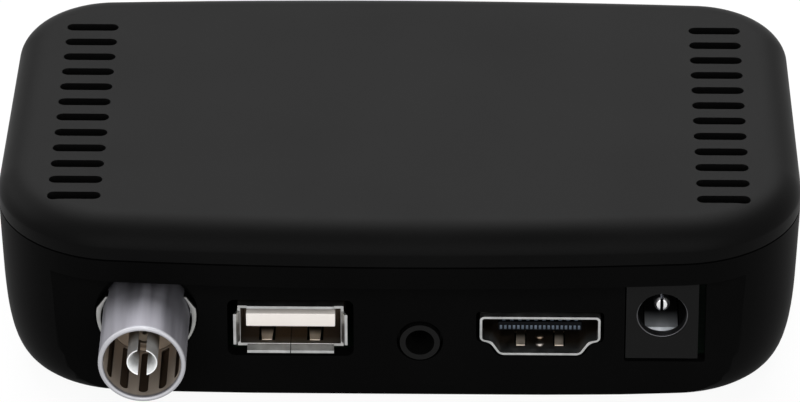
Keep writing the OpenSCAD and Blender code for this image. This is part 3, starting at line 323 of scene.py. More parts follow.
def soft_edges(bm, width, steps=2, angle=35):
    """Rounds every edge that is sharper than an angle."""
    sharp = [e for e in bm.edges if e.is_manifold and e.calc_face_angle(0) > math.radians(angle)]
    bmesh.ops.bevel(
        bm, geom=sharp, offset=width, offset_type="OFFSET", segments=steps, profile=0.5, affect="EDGES",
        clamp_overlap=True, material=-1)


def finished(name, bm, finish, body="case", stands_for=()):
    """Makes a shape into a piece with its finish and the body that it moves with."""
    mesh = bpy.data.meshes.new(name)
    bm.to_mesh(mesh)
    bm.free()
    mesh.polygons.foreach_set("use_smooth", [True] * len(mesh.polygons))
    mesh.set_sharp_from_angle(angle=math.radians(32))
    mesh.materials.append(finish)
    piece = bpy.data.objects.new(name, mesh)
    bpy.context.scene.collection.objects.link(piece)
    even = piece.modifiers.new("even_shading", "WEIGHTED_NORMAL")
    even.keep_sharp = True
    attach(piece, body)
    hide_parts(*stands_for)
    return piece


hull_in, hull_up, hull_power, hull_steps = 3.75 * mm, 13.65 * mm, 3, 16
draft = math.tan(math.radians(2.2))


def base_section(skin, top):
    """Section of the base, a given depth under its surface: the round lower edge, then the side."""
    line = []
    for i in range(hull_steps + 1):
        t = math.pi / 2 * i / hull_steps
        h = skin + (hull_up - skin) * (1 - abs(math.cos(t)) ** (2 / hull_power))
        inset = skin + (hull_in - skin) * (1 - math.sin(t) ** (2 / hull_power))
        line.append((inset + (seam_z - under_z - h) * draft, under_z + h))
    return line + [(skin, top)]


def end_slab(bm, y0, y1, top):
    """A wide block between two places along the case, from below the case up to a height."""
    low = under_z - wall
    flat_bar(bm, (4 * half_w, y1 - y0, top - low), (0, (y0 + y1) / 2, (top + low) / 2))


shelf = 1.2 * mm
hollow = sweep_round_case(base_section(wall, seam_z + wall))
ends = bmesh.new()
end_slab(ends, panel_in - half_d, panel_in, rim_z + shelf)
end_slab(ends, face_in, face_in + half_d, rim_z + shelf)
hollow = carve(hollow, ends)
outside = bmesh.new()
end_slab(outside, panel_y - half_d, panel_y, rim_z)
end_slab(outside, face_y, face_y + half_d, rim_z)
base = carve(carve(sweep_round_case(base_section(0, seam_z)), outside), hollow)

board_under, board_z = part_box("main_board")[0].z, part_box("main_board")[1].z
screw_spots = [(x * mm, middle_y + y * mm) for x, y in ((-30, 3), (30, 3), (-19.5, -8.5), (19.5, -8.5))]
pillar_r, pillar_root = 3.5 * mm, under_z + wall / 2


def pillars(low, high, radius):
    """Round bars at the four screws, between two heights."""
    bars = bmesh.new()
    for x, y in screw_spots:
        round_bar(bars, radius, (x, y, (low + high) / 2), high - low, "Z")
    return bars


base = fuse(base, pillars(pillar_root, board_under, pillar_r))
antenna = Vector((-31.3 * mm, panel_y, board_z + 5.9 * mm))
data = Vector((-13.4 * mm, panel_y, board_z + 4.1 * mm))
sound = Vector((2.7 * mm, panel_y, board_z + 2.3 * mm))
video = Vector((17.65 * mm, panel_y, board_z + 3.4 * mm))
power_low, power_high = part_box("power_jack_body")
tube_low, tube_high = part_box("antenna_tube")
tube_r = (tube_high.z - tube_low.z) / 2
flange_r = (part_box("antenna_flange")[1].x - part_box("antenna_flange")[0].x) / 2
tube_gap, seat_gap, seat_depth = 0.12 * mm, 0.2 * mm, 1.5 * mm
seat = bmesh.new()
round_bar(seat, flange_r + seat_gap, antenna, 2 * seat_depth)
base = carve(base, seat)

through = 4 * wall
data_hole_w, data_hole_h, data_hole_r, sound_hole_r = 15.7 * mm, 8.1 * mm, 0.9 * mm, 2.88 * mm
holes = bmesh.new()
round_bar(holes, tube_r + tube_gap, antenna, through)
flat_bar(holes, (data_hole_w, through, data_hole_h), data, data_hole_r)
round_bar(holes, sound_hole_r, sound, through)
gap_left, gap_right, gap_below, gap_above = 0.15 * mm, 0.9 * mm, 0.45 * mm, 0.15 * mm
power_x0, power_x1 = power_low.x - gap_left, power_high.x + gap_right
power_z0, power_z1 = power_low.z - gap_below, power_high.z + gap_above
power_hole_r = 0.25 * mm
flat_bar(holes, (power_x1 - power_x0, through, power_z1 - power_z0),
         ((power_x0 + power_x1) / 2, panel_y, (power_z0 + power_z1) / 2), power_hole_r)
video_half_w, video_half_h = 7.5 * mm, 2.775 * mm
video_gap, video_hole_r = 0.45 * mm, 0.5 * mm


def stepped_bar(bm, y0, y1, spread, radius):
    """A bar with the video port's stepped outline, spread by a gap, its corners rounded."""
    half = [(5.05 * mm, -video_half_h), (6.2 * mm, -1.025 * mm),
            (video_half_w, -0.725 * mm), (video_half_w, video_half_h)]
    slant = (0.5, -1), (0.6, -0.8), (1, -0.6), (1, 1)
    right = [(x + sx * spread, z + sz * spread) for (x, z), (sx, sz) in zip(half, slant)]
    ring = right + [(-x, z) for x, z in reversed(right)]
    spots = [bm.verts.new((video.x + x, y0, video.z + z)) for x, z in ring]
    bm.faces.new(spots)
    made = bmesh.ops.bevel(
        bm, geom=spots, offset=radius, segments=4, profile=0.5, affect="VERTICES", material=-1)
    end = max((f for v in made["verts"] for f in v.link_faces), key=lambda f: len(f.verts))
    grown = bmesh.ops.extrude_face_region(bm, geom=[end])["geom"]
    bmesh.ops.translate(
        bm, verts=[g for g in grown if isinstance(g, bmesh.types.BMVert)], vec=(0, y1 - y0, 0))


stepped_bar(holes, panel_y - through / 2, panel_y + through / 2, video_gap, video_hole_r)

window_low, window_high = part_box("front_lens")
window_mid, window_size = (window_low + window_high) / 2, window_high - window_low
window_r, window_gap = 2 * mm, 0.15 * mm
flat_bar(holes, (window_size.x + 2 * window_gap, 2 * window_size.y, window_size.z + 2 * window_gap),
         (window_mid.x, face_y, window_mid.z), window_r + window_gap)
key_nodes = ("standby_key", "channel_down_key", "channel_up_key")
key_w, key_h, key_gap, key_hole_r = 4.6 * mm, 3.2 * mm, 0.2 * mm, 1 * mm
for node in key_nodes:
    low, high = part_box(node)
    flat_bar(holes, (key_w + 2 * key_gap, 4 * through, key_h + 2 * key_gap),
             ((low.x + high.x) / 2, face_y, (low.z + high.z) / 2), key_hole_r)

foot_x, foot_y, foot_r, foot_depth = 33 * mm, 14 * mm, 4.55 * mm, 0.6 * mm
for x in (-foot_x, foot_x):
    for y in (-foot_y, foot_y):
        round_bar(holes, foot_r, (x, middle_y + y, under_z), 2 * foot_depth, "Z")
head_r = 2.6 * mm
for x, y in screw_spots:
    round_bar(holes, head_r, (x, y, under_z), 2 * wall, "Z")
bmesh.ops.recalc_face_normals(holes, faces=holes.faces)
base = carve(base, holes)
screw_r, screw_gap = 1.3 * mm, 0.2 * mm
base = carve(base, pillars(pillar_root, board_z, screw_r + screw_gap))
digits_w, digits_h, eye_r, lamp_r = 28 * mm, 8.6 * mm, 2.3 * mm, 1.7 * mm
sight_len = 2 * (face_y - face_in + wall)
sight = bmesh.new()
flat_bar(sight, (digits_w, sight_len, digits_h), (window_mid.x, face_y, window_mid.z))
for node, radius in (("infrared_receiver", eye_r), ("standby_lamp", lamp_r)):
    low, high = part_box(node)
    round_bar(sight, radius, ((low.x + high.x) / 2, face_y, window_mid.z), sight_len)
base = carve(base, sight)
soft_edges(base, 0.12 * mm)
finished("base_moulding", base, case_black, stands_for=(
    "base_shell", "panel_rim", "antenna_panel", "data_panel", "sound_panel", "video_panel", "front_panel"))


# Rubber feet: four soft black discs that are pressed into seats in the underside.
# Their lower edge is rounded, and the rubber is dull and slightly pitted.
body_of = {n: body for body, group in frame["record"]["behaviour"]["bodies"].items() for n in group}


def copied(node):
    """The shape of a CAD node, with its triangles merged into flat faces."""
    bm = bmesh.new()
    bm.from_mesh(frame["nodes"][node].data)
    bmesh.ops.remove_doubles(bm, verts=bm.verts, dist=0.001 * mm)
    bmesh.ops.dissolve_limit(bm, angle_limit=math.radians(1), verts=bm.verts, edges=bm.edges)
    return bm


def eased(node, finish, edge, steps=2, angle=30):
    """A piece in the shape of a CAD node, with its edges eased by a given width."""
    bm = copied(node)
    soft_edges(bm, edge, steps, angle)
    return finished(node + "_eased", bm, finish, body_of[node], (node,))


rubber_black = moulded(
    "rubber_black", (0.008, 0.008, 0.008), (0.014, 0.014, 0.014), 0.8, 0.3, 1500, 0.02 * mm)
eased("rubber_feet", rubber_black, 0.25 * mm, 3)


# Circuit board: glass fibre with a dark green solder mask, lying on the pillars of the base.
# Copper runs show faintly through the mask.
def dress(node, finish):
    """Gives a CAD node that stays as it is a finish."""
    for slot in frame["nodes"][node].material_slots:
        slot.material = finish


solder_mask, tree, shader, place = new_finish("solder_mask")
runs = tree.nodes.new("ShaderNodeTexBrick")
runs.inputs["Scale"].default_value = 160
runs.inputs["Mortar Size"].default_value = 0.03
runs.inputs["Color1"].default_value = (0.0012, 0.004, 0.002, 1)
runs.inputs["Color2"].default_value = (0.0015, 0.005, 0.0025, 1)
runs.inputs["Mortar"].default_value = (0.003, 0.011, 0.005, 1)
tree.links.new(place, runs.inputs["Vector"])
tree.links.new(runs.outputs["Color"], shader.inputs["Base Color"])
shader.inputs["Roughness"].default_value = 0.5
shader.inputs["Specular IOR Level"].default_value = 0.1
relief(tree, shader, runs.outputs["Fac"], 0.02 * mm, 0.5)
dress("main_board", solder_mask)

# Parts on the board: black epoxy chips, a finned aluminium heat sink glued to the main one, sleeved
# capacitors, ferrite coils and a crystal in a drawn can. They are soldered to the board.
chip_epoxy = moulded("chip_epoxy", (0.012, 0.012, 0.013), (0.02, 0.02, 0.021), 0.6, 0.4, 6000, 0.006 * mm)
for node in ("main_chip", "memory_chip", "flash_chip", "tuner_chip", "regulators"):
    dress(node, chip_epoxy)
ferrite = moulded("ferrite", (0.03, 0.028, 0.027), (0.05, 0.047, 0.045), 0.7, 0.4, 2500, 0.01 * mm)
dress("inductors", ferrite)
sleeve = moulded("sleeve", (0.006, 0.006, 0.008), (0.01, 0.01, 0.013), 0.3, 0.5, 900, 0.003 * mm)
dress("capacitors", sleeve)


def plated(name, dark, light, rough, scale=700, stretch=(1, 1, 1), depth=0.001 * mm):
    """Bright metal: fine drawn lines or a mottle in its colour and gloss."""
    finish, tree, shader, place = new_finish(name)
    lines = speckle(tree, place, scale, 3, stretch)
    tree.links.new(between(tree, lines, dark, light), shader.inputs["Base Color"])
    tree.links.new(between(tree, lines, rough - 0.06, rough + 0.06), shader.inputs["Roughness"])
    shader.inputs["Metallic"].default_value = 1
    relief(tree, shader, lines, depth, 0.5)
    return finish


aluminium = plated("aluminium", (0.55, 0.56, 0.57), (0.68, 0.69, 0.70), 0.4, 900, (1, 0.05, 1))
dress("heat_sink", aluminium)
tin_plate = plated("tin_plate", (0.5, 0.5, 0.51), (0.62, 0.62, 0.63), 0.3, 400)
for node in ("crystal", "tuner_can"):
    dress(node, tin_plate)


# Antenna socket: a turned tube in satin nickel that stands out of the panel, with a round lip and a
# fluted spring sleeve inside. A split centre contact stands in a tan insulator, and a thin collar,
# open above, lies round the tube's root in a seat of the panel.
def deeper(tree, place, start, end):
    """A socket that runs from 0 to 1 between two places along the case's depth."""
    split = tree.nodes.new("ShaderNodeSeparateXYZ")
    tree.links.new(place, split.inputs["Vector"])
    return rising(tree, split.outputs["Y"], start, end)


def blended(tree, amount, first, second):
    """A socket that mixes two colours, each a socket or a plain colour."""
    mix = tree.nodes.new("ShaderNodeMix")
    mix.data_type = "RGBA"
    tree.links.new(amount, mix.inputs["Factor"])
    for place, colour in ((6, first), (7, second)):
        if isinstance(colour, tuple):
            mix.inputs[place].default_value = (*colour, 1)
        else:
            tree.links.new(colour, mix.inputs[place])
    return mix.outputs[2]


def metal_with_painted_shade(name, dark, light, painted_shade, start, end, rough, scale, stretch=(1, 1, 1), metal=1):
    """Metal with a fine mottle and painted shade: its colour darkens to a shade colour between two places
    along the case's depth.
    """
    finish, tree, shader, place = new_finish(name)
    mottle = speckle(tree, place, scale, 3, stretch)
    clean = between(tree, mottle, dark, light)
    # The darkening with depth is painted shade in the hollow of a socket or jack.
    inside = deeper(tree, place, start, end)
    tree.links.new(blended(tree, inside, clean, painted_shade), shader.inputs["Base Color"])
    tree.links.new(between(tree, mottle, *rough), shader.inputs["Roughness"])
    shader.inputs["Metallic"].default_value = metal
    relief(tree, shader, mottle, 0.001 * mm, 0.5)
    return finish


def turned(outline, middle, corners, steps=96):
    """A ring turned round an axis along Y from radii and places, some of its corners rounded."""
    bm = bmesh.new()
    spots = [bm.verts.new((middle.x + r, y, middle.z)) for r, y in outline]
    bm.faces.new(spots)
    for index, radius in corners:
        bmesh.ops.bevel(
            bm, geom=[spots[index]], offset=radius, segments=5, profile=0.5, affect="VERTICES", material=-1)
    bmesh.ops.delete(bm, geom=bm.faces[:], context="FACES_ONLY")
    bmesh.ops.spin(
        bm, geom=bm.verts[:] + bm.edges[:], cent=middle, axis=(0, 1, 0), angle=2 * math.pi, steps=steps,
        use_merge=True, use_duplicate=False)
    bmesh.ops.remove_doubles(bm, verts=bm.verts, dist=0.001 * mm)
    bmesh.ops.recalc_face_normals(bm, faces=bm.faces)
    return bm


tube_wall, lip_outer_r, lip_inner_r = 0.6 * mm, 0.3 * mm, 0.26 * mm
mouth_y, root_y = tube_low.y, tube_high.y
bore_r = tube_r - tube_wall
flute_count, flute_w, flute_depth = 12, 1.15 * mm, 0.3 * mm
flute_y0, flute_y1 = mouth_y + 1.3 * mm, panel_y - 1.2 * mm
tube = turned([(tube_r, root_y), (tube_r, mouth_y), (bore_r, mouth_y), (bore_r, root_y)], antenna,
              [(1, lip_outer_r), (2, lip_inner_r)])
flutes = bmesh.new()
flat_bar(flutes, (flute_w, flute_y1 - flute_y0, 4 * flute_depth),
         (antenna.x, (flute_y0 + flute_y1) / 2, antenna.z - bore_r + flute_depth), flute_w / 2.05, axis=2)
bmesh.ops.spin(
    flutes, geom=flutes.verts[:] + flutes.edges[:] + flutes.faces[:], cent=antenna, axis=(0, 1, 0),
    angle=2 * math.pi * (flute_count - 1) / flute_count, steps=flute_count - 1, use_duplicate=True)
tube = carve(tube, flutes)

satin_nickel, tree, shader, place = new_finish("satin_nickel")
lines = speckle(tree, place, 900, 3, (1, 0.06, 1))
bright = between(tree, lines, (0.17, 0.167, 0.185), (0.24, 0.236, 0.26))
centred = tree.nodes.new("ShaderNodeMapping")
centred.inputs["Location"].default_value = (-antenna.x, 0, -antenna.z)
tree.links.new(place, centred.inputs["Vector"])
flat = tree.nodes.new("ShaderNodeVectorMath")
flat.operation = "MULTIPLY"
flat.inputs[1].default_value = (1, 0, 1)
tree.links.new(centred.outputs["Vector"], flat.inputs[0])
off_axis = tree.nodes.new("ShaderNodeVectorMath")
off_axis.operation = "LENGTH"
tree.links.new(flat.outputs["Vector"], off_axis.inputs[0])
# Past the lip the sleeve is beige, and dark brown in its flutes: the dark brown is painted shade in the
# grooves.
flute_shade_mask = rising(tree, off_axis.outputs["Value"], bore_r + 0.05 * mm, bore_r + 0.12 * mm)
on_outside = rising(tree, off_axis.outputs["Value"], tube_r - 0.2 * mm, tube_r - 0.1 * mm)
sleeve_tone_and_flute_shade = blended(tree, flute_shade_mask, (0.52, 0.46, 0.40), (0.07, 0.05, 0.035))
past_lip = deeper(tree, place, mouth_y + 0.4 * mm, mouth_y + 0.8 * mm)
inner_colour = blended(tree, past_lip, bright, sleeve_tone_and_flute_shade)
# A lighter grey on the lip, the last 0.15 to 0.5 mm at the mouth, is a painted highlight.
lip_highlight_mask = deeper(tree, place, mouth_y + 0.5 * mm, mouth_y + 0.15 * mm)
skin_colour = blended(tree, on_outside, inner_colour, bright)
tree.links.new(blended(tree, lip_highlight_mask, skin_colour, (0.38, 0.38, 0.40)), shader.inputs["Base Color"])
tree.links.new(between(tree, lines, 0.56, 0.68), shader.inputs["Roughness"])
shader.inputs["Metallic"].default_value = 1
relief(tree, shader, lines, 0.0015 * mm, 0.5)
finished("antenna_sleeve", tube, satin_nickel, stands_for=("antenna_tube",))

ring_wall, ring_drop, ring_out, ring_lip_r = 0.55 * mm, 0.5 * mm, 0.3 * mm, 0.16 * mm
ear_top, ear_side, ear_slope, ear_cut = 2.7 * mm, 0.9 * mm, math.radians(35), 8 * mm
ring_y, seat_y = panel_y - ring_out, panel_y + seat_depth
ring = turned(
    [(tube_r, ring_y), (flange_r, ring_y), (flange_r, seat_y), (tube_r, seat_y)], antenna,
    [(1, ring_lip_r)])
inner = bmesh.new()
round_bar(inner, flange_r - ring_wall, antenna - Vector((0, 0, ring_drop)), ear_cut, steps=96)
ring = carve(ring, inner)
above = bmesh.new()
flat_bar(above, (2 * ear_cut, ear_cut, ear_cut), (antenna.x, panel_y, antenna.z + ear_top + ear_cut / 2))
ring = carve(ring, above)
for side in (-1, 1):
    corner = antenna + Vector((side * flange_r, 0, ear_side))
    beside = bmesh.new()
    flat_bar(beside, (ear_cut, ear_cut, 2 * ear_cut), corner + Vector((side * ear_cut / 2, 0, 0)))
    bmesh.ops.rotate(
        beside, cent=corner, matrix=Matrix.Rotation(-side * ear_slope, 3, "Y"), verts=beside.verts)
    ring = carve(ring, beside)
soft_edges(ring, 0.06 * mm)
# The collar's colour runs from nickel at its front rim to near black at the panel: painted shade in its
# dish under the rim.
bright_nickel = metal_with_painted_shade(
    "bright_nickel", (0.27, 0.27, 0.262), (0.36, 0.36, 0.35), (0.008, 0.008, 0.008),
    ring_y + 0.15 * mm, panel_y + 0.1 * mm, (0.46, 0.6), 500)
finished("antenna_ring", ring, bright_nickel, stands_for=("antenna_flange",))

pin_low, pin_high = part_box("antenna_contact")
pin_r, pin_bore, pin_core, pin_flare = (pin_high.z - pin_low.z) / 2, 1.25 * mm, 0.3 * mm, 1.76 * mm
flare_y, slit_y, pin_deep = pin_low.y + 0.9 * mm, pin_low.y + 3 * mm, pin_low.y + 7 * mm
tail_r, shoulder_y, slit_w = 1 * mm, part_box("antenna_insulator")[0].y, 1.1 * mm
pin = turned(
    [(pin_bore, pin_deep), (pin_bore, flare_y), (pin_flare, pin_low.y), (pin_r, pin_low.y),
     (pin_r, shoulder_y), (tail_r, shoulder_y), (tail_r, pin_high.y), (pin_core, pin_high.y),
     (pin_core, pin_deep)], antenna, [(1, 0.6 * mm), (2, 0.05 * mm), (3, 0.1 * mm)], 48)
slit = bmesh.new()
flat_bar(slit, (slit_w, pin_deep - pin_low.y, 3 * pin_r), (antenna.x, slit_y, antenna.z))
pin = carve(pin, slit)
soft_edges(pin, 0.05 * mm)
# The contact's colour darkens to a dark brown from 2.2 to 4.4 mm behind its mouth: painted shade down its
# bore.
pin_nickel = metal_with_painted_shade(
    "pin_nickel", (0.78, 0.79, 0.79), (0.88, 0.89, 0.89), (0.16, 0.13, 0.10),
    pin_low.y + 2.2 * mm, pin_low.y + 4.4 * mm, (0.4, 0.52), 600, metal=0.7)
finished("antenna_pin", pin, pin_nickel, stands_for=("antenna_contact",))
tan_plastic = moulded("tan_plastic", (0.30, 0.24, 0.185), (0.38, 0.31, 0.245), 0.5, 0.3, 1800, 0.003 * mm)
eased("antenna_insulator", tan_plastic, 0.1 * mm)

# Data port: a folded steel shell whose edges meet in a butt seam along its floor, and whose four flaps
# flare out through the panel. It holds a cream tongue that carries four gilt strips, and two leaf
# springs that press up through its floor.
# The shells' colour turns dark brown from 0.3 to 2.2 mm behind the panel: painted shade inside the ports.
port_steel = metal_with_painted_shade(
    "port_steel", (0.33, 0.335, 0.33), (0.44, 0.445, 0.44), (0.17, 0.13, 0.095),
    panel_y + 0.3 * mm, panel_y + 2.2 * mm, (0.3, 0.42), 900)
butt_w, butt_len, butt_h = 0.09 * mm, 12 * mm, 2 * mm
butt_y, butt_z = panel_y + 4 * mm, data.z - 3.2 * mm
butt_seam = bmesh.new()
flat_bar(butt_seam, (butt_w, butt_len, butt_h), (data.x, butt_y, butt_z))
port = carve(copied("data_port_shell"), butt_seam)
soft_edges(port, 0.06 * mm)
finished("data_port_sheet", port, port_steel, stands_for=("data_port_shell",))
cream_plastic = moulded(
    "cream_plastic", (0.90, 0.84, 0.78), (0.95, 0.90, 0.85), 0.5, 0.4, 1800, 0.003 * mm)
eased("data_port_tongue", cream_plastic, 0.12 * mm)
gilt = plated("gilt", (0.70, 0.50, 0.20), (0.82, 0.62, 0.28), 0.25, 700)
eased("data_port_contacts", gilt, 0.04 * mm)
drawn = (1, 0.1, 1)
# The springs turn near black from 2.3 to 3.3 mm behind the panel: painted shade over their far ends.
leaf_steel = metal_with_painted_shade(
    "leaf_steel", (0.46, 0.40, 0.33), (0.58, 0.51, 0.43), (0.03, 0.024, 0.018),
    panel_y + 2.3 * mm, panel_y + 3.3 * mm, (0.48, 0.6), 900, drawn)
eased("data_port_spring_left", leaf_steel, 0.05 * mm)
eased("data_port_spring_right", leaf_steel, 0.05 * mm)

# Audio and video jack: a black moulded body on the board, whose round nose fills a hole in the
# panel. Two gilt leaves stand in slots at its sides and touch the plug.
jack_black = moulded(
    "jack_black", (0.0025, 0.0025, 0.0025), (0.0035, 0.0035, 0.0035), 0.36, 0.09, 2200, 0.002 * mm)
eased("av_jack_body", jack_black, 0.3 * mm, 4)
eased("av_tip_contact", gilt, 0.04 * mm)
eased("av_ring_contact", gilt, 0.04 * mm)

# Video port: a steel shell folded to a stepped outline, on four legs that are soldered to the board.
# In it are a dark tongue with rows of plated strips, two leaf springs in windows of the floor and two
# dimples between them.
sheet, shell_r, core_r = 0.3 * mm, 0.55 * mm, 0.3 * mm
shell_low, shell_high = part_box("video_port_shell")
shell = bmesh.new()
stepped_bar(shell, shell_low.y, shell_high.y, 0, shell_r)
bmesh.ops.recalc_face_normals(shell, faces=shell.faces)
core = bmesh.new()
stepped_bar(core, shell_low.y - through, shell_high.y + through, -sheet, core_r)
bmesh.ops.recalc_face_normals(core, faces=core.faces)
shell = carve(shell, core)
legs = bmesh.new()
leg_w, leg_x, leg_z = 1.4 * mm, video_half_w - sheet / 2, (video.z + board_z) / 2
for side in (-1, 1):
    for leg_y in (panel_y + 4.5 * mm, panel_y + 10 * mm):
        flat_bar(legs, (sheet, leg_w, video.z - board_z), (video.x + side * leg_x, leg_y, leg_z))
shell = fuse(shell, legs)
windows = bmesh.new()
leaf_x, leaf_w, leaf_gap, leaf_hole_r = 2.4 * mm, 1.1 * mm, 0.2 * mm, 0.2 * mm
leaf_y0, leaf_y1 = panel_y + 1.26 * mm, panel_y + 4.8 * mm
video_floor_z = video.z - video_half_h
for side in (-1, 1):
    flat_bar(windows, (leaf_w + 2 * leaf_gap, leaf_y1 - leaf_y0, 4 * sheet),
             (video.x + side * leaf_x, (leaf_y0 + leaf_y1) / 2, video_floor_z), leaf_hole_r, axis=2)
shell = carve(shell, windows)
soft_edges(shell, 0.08 * mm)
dimple_r, dimple_flat = 0.58 * mm, Matrix.Diagonal((1, 1, 0.6, 1))
for dimple_y in (panel_y + 1.8 * mm, panel_y + 3.5 * mm):
    bmesh.ops.create_uvsphere(
        shell, u_segments=24, v_segments=12, radius=dimple_r,
        matrix=Matrix.Translation((video.x, dimple_y, video_floor_z + sheet)) @ dimple_flat)
finished("video_port_sheet", shell, port_steel, stands_for=("video_port_shell",))
tongue_black = moulded(
    "tongue_black", (0.0012, 0.0015, 0.0022), (0.002, 0.0024, 0.0034), 0.4, 0.05, 2200, 0.002 * mm)
eased("video_port_tongue", tongue_black, 0.08 * mm)
strips = copied("video_port_contacts")
strip_count, strip_pitch, strip_w, strip_t, strip_h = 19, 0.54 * mm, 0.32 * mm, 0.16 * mm, 0.56 * mm
strip_y, strip_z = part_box("video_port_tongue")[0].y, video.z + 0.33 * mm
for i in range(strip_count):
    x = video.x + (i - (strip_count - 1) / 2) * strip_pitch
    flat_bar(strips, (strip_w, strip_t, strip_h), (x, strip_y, strip_z))
soft_edges(strips, 0.03 * mm)
strip_steel = plated("strip_steel", (0.06, 0.075, 0.095), (0.10, 0.12, 0.15), 0.45, 900, drawn)
finished("video_port_strips", strips, strip_steel,
         stands_for=("video_port_contacts",))
eased("video_port_spring_left", leaf_steel, 0.05 * mm)
eased("video_port_spring_right", leaf_steel, 0.05 * mm)

# Power jack: a square black body with a round hole that a thin steel ring lines at its mouth. A split
# steel pin stands in its middle, and one broad leaf spring touches the plug from below.
eased("power_jack_body", jack_black, 0.15 * mm, 3)
power_axis_h = 6.2 * mm
power = Vector(((power_low.x + power_high.x) / 2, power_low.y, board_z + power_axis_h))
barrel_r, barrel_wall, barrel_lip_r = 3.18 * mm, 0.12 * mm, 0.08 * mm
barrel_y0, barrel_y1 = panel_y + 0.2 * mm, panel_y + 1.4 * mm
barrel_in = barrel_r - barrel_wall
barrel = turned(
    [(barrel_r, barrel_y0), (barrel_r, barrel_y1), (barrel_in, barrel_y1), (barrel_in, barrel_y0)], power,
    [(3, barrel_lip_r)])
barrel_steel = plated("barrel_steel", (0.07, 0.07, 0.074), (0.11, 0.11, 0.115), 0.4, 700)
finished("power_jack_barrel", barrel, barrel_steel)
pin_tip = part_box("power_jack_pin")[0].y
# The pin darkens from 0.2 to 1.6 mm behind its tip: painted shade along its shaft in the jack.
power_steel = metal_with_painted_shade(
    "power_steel", (0.70, 0.70, 0.71), (0.82, 0.82, 0.83), (0.10, 0.10, 0.11),
    pin_tip + 0.2 * mm, pin_tip + 1.6 * mm, (0.24, 0.34), 700)
eased("power_jack_pin", power_steel, 0.1 * mm, 3)
leaf_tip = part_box("power_jack_spring")[0].y
# The spring darkens to near black from 1.4 to 5.4 mm behind its tip: painted shade deeper in the jack.
leaf_bright = metal_with_painted_shade(
    "leaf_bright", (0.80, 0.84, 0.88), (0.92, 0.95, 0.98), (0.03, 0.03, 0.032),
    leaf_tip + 1.4 * mm, leaf_tip + 5.4 * mm, (0.5, 0.62), 900, drawn)
eased("power_jack_spring", leaf_bright, 0.06 * mm)

# Display: a black module with red segments, an infrared eye and a red lamp, soldered to the board.
# A smoked gloss window stands before them in the front face.
module_black = moulded("module_black", (0.01, 0.01, 0.011), (0.016, 0.016, 0.017), 0.55, 0.3)
dress("display_module", module_black)
segment_red = moulded("segment_red", (0.16, 0.02, 0.016), (0.2, 0.028, 0.022), 0.4, 0.4, 1200, 0.002 * mm)
dress("display_segments", segment_red)
lamp_red = moulded("lamp_red", (0.30, 0.01, 0.01), (0.38, 0.016, 0.014), 0.2, 0.5, 900, 0.001 * mm)
dress("standby_lamp", lamp_red)
eye_violet = moulded("eye_violet", (0.012, 0.006, 0.012), (0.018, 0.009, 0.018), 0.15, 0.5, 900, 0.001 * mm)
dress("infrared_receiver", eye_violet)

smoked, tree, shader, place = new_finish("smoked")
haze = speckle(tree, place, 120, 3)
tree.links.new(between(tree, haze, (0.10, 0.07, 0.08), (0.13, 0.09, 0.10)), shader.inputs["Base Color"])
tree.links.new(between(tree, haze, 0.03, 0.07), shader.inputs["Roughness"])
shader.inputs["Transmission Weight"].default_value = 1
shader.inputs["IOR"].default_value = 1.3
window = bmesh.new()
flat_bar(window, window_size, window_mid, window_r, steps=10)
soft_edges(window, 0.25 * mm, 3)
finished("front_window", window, smoked, stands_for=("front_lens",))

# Push keys: three satin black caps in the front face. Behind each, a pale plunger stands in a
# switch on the board.
key_black = moulded("key_black", (0.004, 0.004, 0.004), (0.006, 0.006, 0.006), 0.4, 0.06)
for node in key_nodes:
    eased(node, key_black, 0.3 * mm, 3)
for node in ("standby_plunger", "channel_down_plunger", "channel_up_plunger"):
    dress(node, cream_plastic)
switch_black = moulded("switch_black", (0.01, 0.01, 0.011), (0.016, 0.016, 0.017), 0.5, 0.3)
dress("key_switches", switch_black)

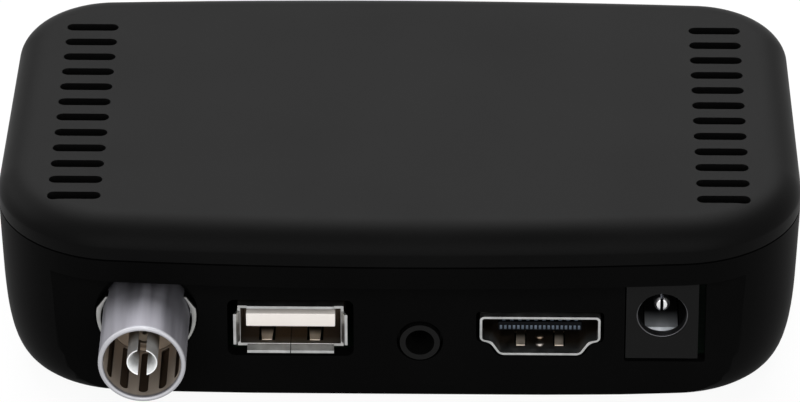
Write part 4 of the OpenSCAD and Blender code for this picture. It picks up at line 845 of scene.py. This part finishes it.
# Top cover: a second moulding in the same plastic. A soft roll runs round its flat top down to a
# crease and a short skirt, and its lip drops inside the base. Two rows of slots let the heat out, and
# four pillars under its roof stand on the board.
top_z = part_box("top_cover")[1].z
seam_gap = 0.22 * mm
skirt_z = seam_z + seam_gap
roll_run, roll_drop, roll_start, roll_steps = 4.6 * mm, 3.1 * mm, math.radians(10), 18
lip_in, lip_out, lip_h = 3.1 * mm, 2.1 * mm, 1.1 * mm
section = []
for i in range(roll_steps + 1):
    t = math.pi / 2 + (roll_start - math.pi / 2) * i / roll_steps
    inset = roll_run / math.cos(roll_start) * (math.cos(roll_start) - math.cos(t))
    section.append((inset, top_z - roll_drop * (1 - math.sin(t)) / (1 - math.sin(roll_start))))
section += [(0, skirt_z), (lip_out, skirt_z), (lip_out, seam_z - lip_h), (lip_in, seam_z - lip_h),
            (lip_in, skirt_z + wall / 2), (wall, skirt_z + wall / 2), (wall + roll_run, top_z - wall)]
cover = sweep_round_case(section)

vent_count, vent_pitch, vent_len, vent_w = 12, 3.87 * mm, 6.67 * mm, 1.75 * mm
vent_x, vent_shift = 36.9 * mm, 0.8 * mm
slots = bmesh.new()
for side in (-1, 1):
    for i in range(vent_count):
        x = side * (vent_x + vent_len / 2)
        y = middle_y - vent_shift + (i - (vent_count - 1) / 2) * vent_pitch
        flat_bar(slots, (vent_len, vent_w, 3 * wall), (x, y, top_z - wall), vent_w / 2.02, axis=2, steps=8)
cover = carve(cover, slots)
cover = fuse(cover, pillars(board_z, top_z - wall / 2, pillar_r))
pilot_gap, screw_tip = 0.05 * mm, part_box("case_screws")[1].z
cover = carve(cover, pillars(board_under, screw_tip + wall / 2, screw_r + pilot_gap))
soft_edges(cover, 0.1 * mm)
# The cover's copy of the same plastic is lighter and glossier than the base's: painted light on its top.
cover_black_lit = moulded("cover_black_lit", (0.0026, 0.0026, 0.0026), (0.0034, 0.0034, 0.0034), 0.45, 0.026)
finished("cover_moulding", cover, cover_black_lit, stands_for=("top_cover",))

# Case screws: four plated steel screws with cross recesses, driven up from below through the base
# and the board into the cover's pillars.
screw_steel = plated("screw_steel", (0.38, 0.38, 0.39), (0.5, 0.5, 0.51), 0.35, 800)
eased("case_screws", screw_steel, 0.1 * mm)
